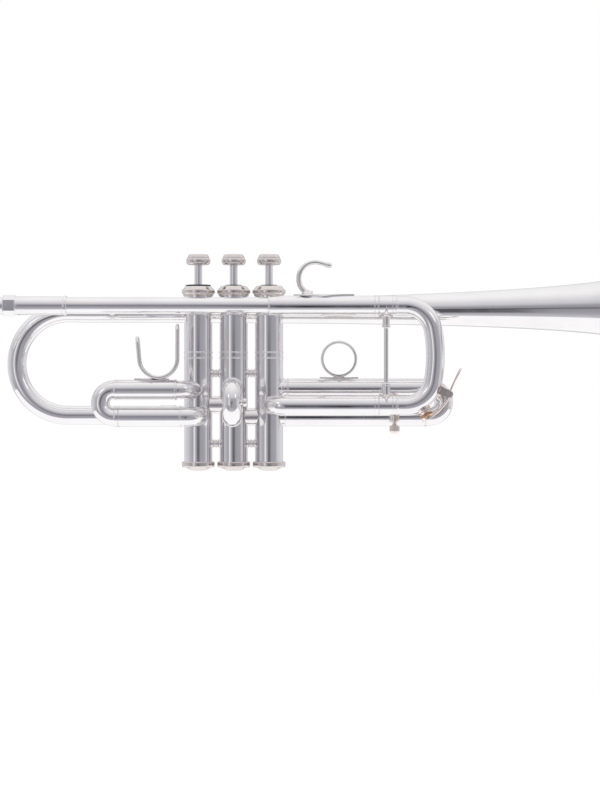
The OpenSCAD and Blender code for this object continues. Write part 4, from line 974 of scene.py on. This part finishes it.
second_high, second_low = -7.6, -27.1
second_sleeve_y, second_crook_y = -31, -37.5
sleeve = draw_tube("second_sleeve", (0, second_sleeve_y, second_high), along_y, sleeve_r, [
    *bead(1.0), (-second_sleeve_y - 1 - 3, sleeve_r)], bore=sleeve_bore)
casing_trim(sleeve, 2)
low_sleeve = another(sleeve, "second_sleeve", (0, 0, second_low - second_high))
silver_along_y = silver_plate("silver_along_y", grain=(1, 0.05, 1))
finish_piece(join_pieces([sleeve, low_sleeve], "second_slide_sleeves"), silver_along_y, "body",
             ["second_sleeves"], edge=0.06)
cad_finish("second_legs", slide_nickel)
crook_r = (second_high - second_low) / 2
second_crook = draw_tube("second_crook_tube", (0, second_sleeve_y - 3.2, second_high), -along_y, bow_r, [
    (second_sleeve_y - 3.2 - second_crook_y, bow_r),
    ("bend", (0, second_crook_y, second_low + crook_r), (1, 0, 0), 180, 44),
    (second_sleeve_y - 3.2 - second_crook_y, bow_r)], bore=bow_bore)
second_end = draw_tube("crook_end", (0, second_crook_y + 0.6, second_high), along_y, bow_r + 0.1, [
    (0.4, sleeve_r), (2.6, sleeve_r), (0, ring_r), (0.7, ring_r), (0, sleeve_r), (1.9, sleeve_r)],
    bore=bow_r - 0.02)
low_end = another(second_end, "crook_end", (0, 0, -2 * crook_r))
finish_piece(join_pieces([second_crook, second_end, low_end], "second_slide_crook"), silver_bows,
             "second_slide", ["second_crook"], edge=0.05)
knob_place = (4.5, second_crook_y - crook_r, (second_high + second_low) / 2)
knob = turn_piece("second_slide_knob", knob_place, along_x, [
    (1.5, 1.7), (2.6, 1.6), (3.0, 1.8), (3.3, 2.6), (3.6, 2.95), (4.2, 3.05), (4.9, 3.0), (5.4, 2.75),
    (5.8, 2.2), (6.0, 1.4), (6.1, 0)], 40)
finish_piece(knob, silver_fittings, "second_slide", ["second_knob"], edge=0)

# ---- Third slide ----
# The long slide under the bell: a moving sleeve above, a moving leg below, and a crook. A finger ring,
# bent from half-round strip, sits on its upper sleeve.

third_crook_x = 137.2
third_end_x = third_crook_x - 3
third_start_x = 27
third_leg = draw_tube("third_upper_leg", (third_start_x, 0, second_high), along_x, leg_r, [
    (95, leg_r)], bore=leg_bore)
casing_trim(third_leg, 3)
collar = draw_tube("third_collar", (28.4, 0, second_high), along_x, sleeve_r, [
    (4.0, sleeve_r), *bead(4.2)], bore=leg_r)
casing_trim(collar, 3)
first_run = 8.6
third_sleeve = draw_tube("third_lower_sleeve", (third_start_x, 0, second_low), along_x, sleeve_r, [
    (first_run, sleeve_r), *bead(1.0), (third_end_x - third_start_x - first_run - 2, sleeve_r), *bead(1.0)],
    bore=sleeve_bore)
casing_trim(third_sleeve, 3)
finish_piece(join_pieces([third_leg, collar, third_sleeve], "third_slide_fixed"), silver_along_x, "body",
             ["third_fixed_tubes"], edge=0.06)
low, high = corners("third_moving_tubes")
inner_x = 62
third_moving = [
    draw_tube("third_upper_sleeve", (low.x, 0, second_high), along_x, sleeve_r, [
        *bead(1.6), (high.x - low.x - 1.6, sleeve_r)], bore=sleeve_bore),
    draw_tube("third_lower_leg", (inner_x, 0, second_low), along_x, leg_r, [
        (high.x - inner_x, leg_r)], bore=leg_bore)]
finish_piece(join_pieces(third_moving, "third_slide_moving"), silver_along_x, "third_slide",
             ["third_moving_tubes"], edge=0.06)
third_crook = draw_tube("third_crook_tube", (third_crook_x, 0, second_low), along_x, bow_r, [
    ("bend", (third_crook_x, 0, second_low + crook_r), (0, -1, 0), 180, 44)], bore=bow_bore)
third_end = draw_tube("crook_end", (high.x, 0, second_high), along_x, sleeve_r, [
    (0.7, sleeve_r), (0, ring_r), (0.7, ring_r), (0, sleeve_r), (0.9, sleeve_r), (0.4, bow_r + 0.1)],
    bore=bow_bore)
low_end = another(third_end, "crook_end", (0, 0, -2 * crook_r))
finish_piece(join_pieces([third_crook, third_end, low_end], "third_slide_crook"), silver_bows,
             "third_slide", ["third_crook"], edge=0.05)

low, high = corners("finger_ring")
finger_r, half_w = 12.75, 3
ring_x = (low.x + high.x) / 2
ring = turn_piece("ring", (ring_x, 0, high.z - finger_r), along_y, [
    (-half_w, 11.2), (-half_w, 11.9), (-half_w + 0.3, 12.35), (-half_w + 1.0, 12.6), (-1, 12.73),
    (0, finger_r), (1, 12.73), (half_w - 1.0, 12.6), (half_w - 0.3, 12.35), (half_w, 11.9), (half_w, 11.2),
    (half_w - 0.35, 10.92), (1.5, 10.85), (-1.5, 10.85), (-half_w + 0.35, 10.92), (-half_w, 11.2)], 96)
block = turn_piece("ring_block", (ring_x, 0, second_high + sleeve_r - 0.3), along_z, [
    (0, 5.2), (0.9, 4.6), (1.3, 3.9), (1.9, 3.0), (2.6, 2.4)], 32)
select_where(block, lambda place: True)
bpy.ops.transform.resize(value=(1, 0.6, 1), center_override=(0, 0, 0))
bpy.ops.object.mode_set(mode="OBJECT")
ring_foot = diamond_foot("foot", (ring_x, 0, second_high), 27, 5.3, sleeve_r, 1.0, along_z)
finish_piece(join_pieces([ring, block, ring_foot], "third_slide_ring"), silver_fittings, "third_slide",
             ["finger_ring"], edge=0)

# ---- Lyre holder ----
# A small drilled boss under the third slide that grips a music lyre's stem, with a knurled thumbscrew.

boss_x, boss_y = 112.2, -9.5
boss = turn_piece("lyre_boss", (boss_x, boss_y, -30.7), along_z, [
    (0, 1.3), (0, 3.0), (0.4, 3.4), (5.0, 3.4), (5.5, 3.1), (5.5, 1.3), (0, 1.3)], 40)
finish_piece(boss, silver_cast, "body", ["lyre_holder"], edge=0)
screw = turn_piece("lyre_thumbscrew", (boss_x, boss_y, 0), along_z, [
    (-29.7, 0), (-29.7, 1.25), (-32.0, 1.25), (-32.2, 1.8), (-33.2, 1.8), (-33.4, 2.8), (-33.9, 3.4),
    (-34.3, 3.6), (-36.9, 3.6), (-37.4, 3.4), (-38.1, 2.8), (-38.6, 2.0), (-38.9, 1.0), (-39, 0)], 48)
knurl_pitch = 360 / 48


def in_knurl(place):
    """True for every second column of points round the thumbscrew's head."""
    out = Vector((place.x - boss_x, place.y - boss_y))
    column = round(math.degrees(math.atan2(out.y, out.x)) / knurl_pitch)
    return -37.3 < place.z < -34.0 and out.length > 3.3 and column % 2 == 0


select_where(screw, in_knurl)
bpy.ops.transform.resize(value=(0.92, 0.92, 1), center_override=(boss_x * MM, boss_y * MM, 0))
bpy.ops.object.mode_set(mode="OBJECT")
finish_piece(screw, silver_cast, "lyre_screw", ["lyre_screw"], edge=0)

low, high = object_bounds()
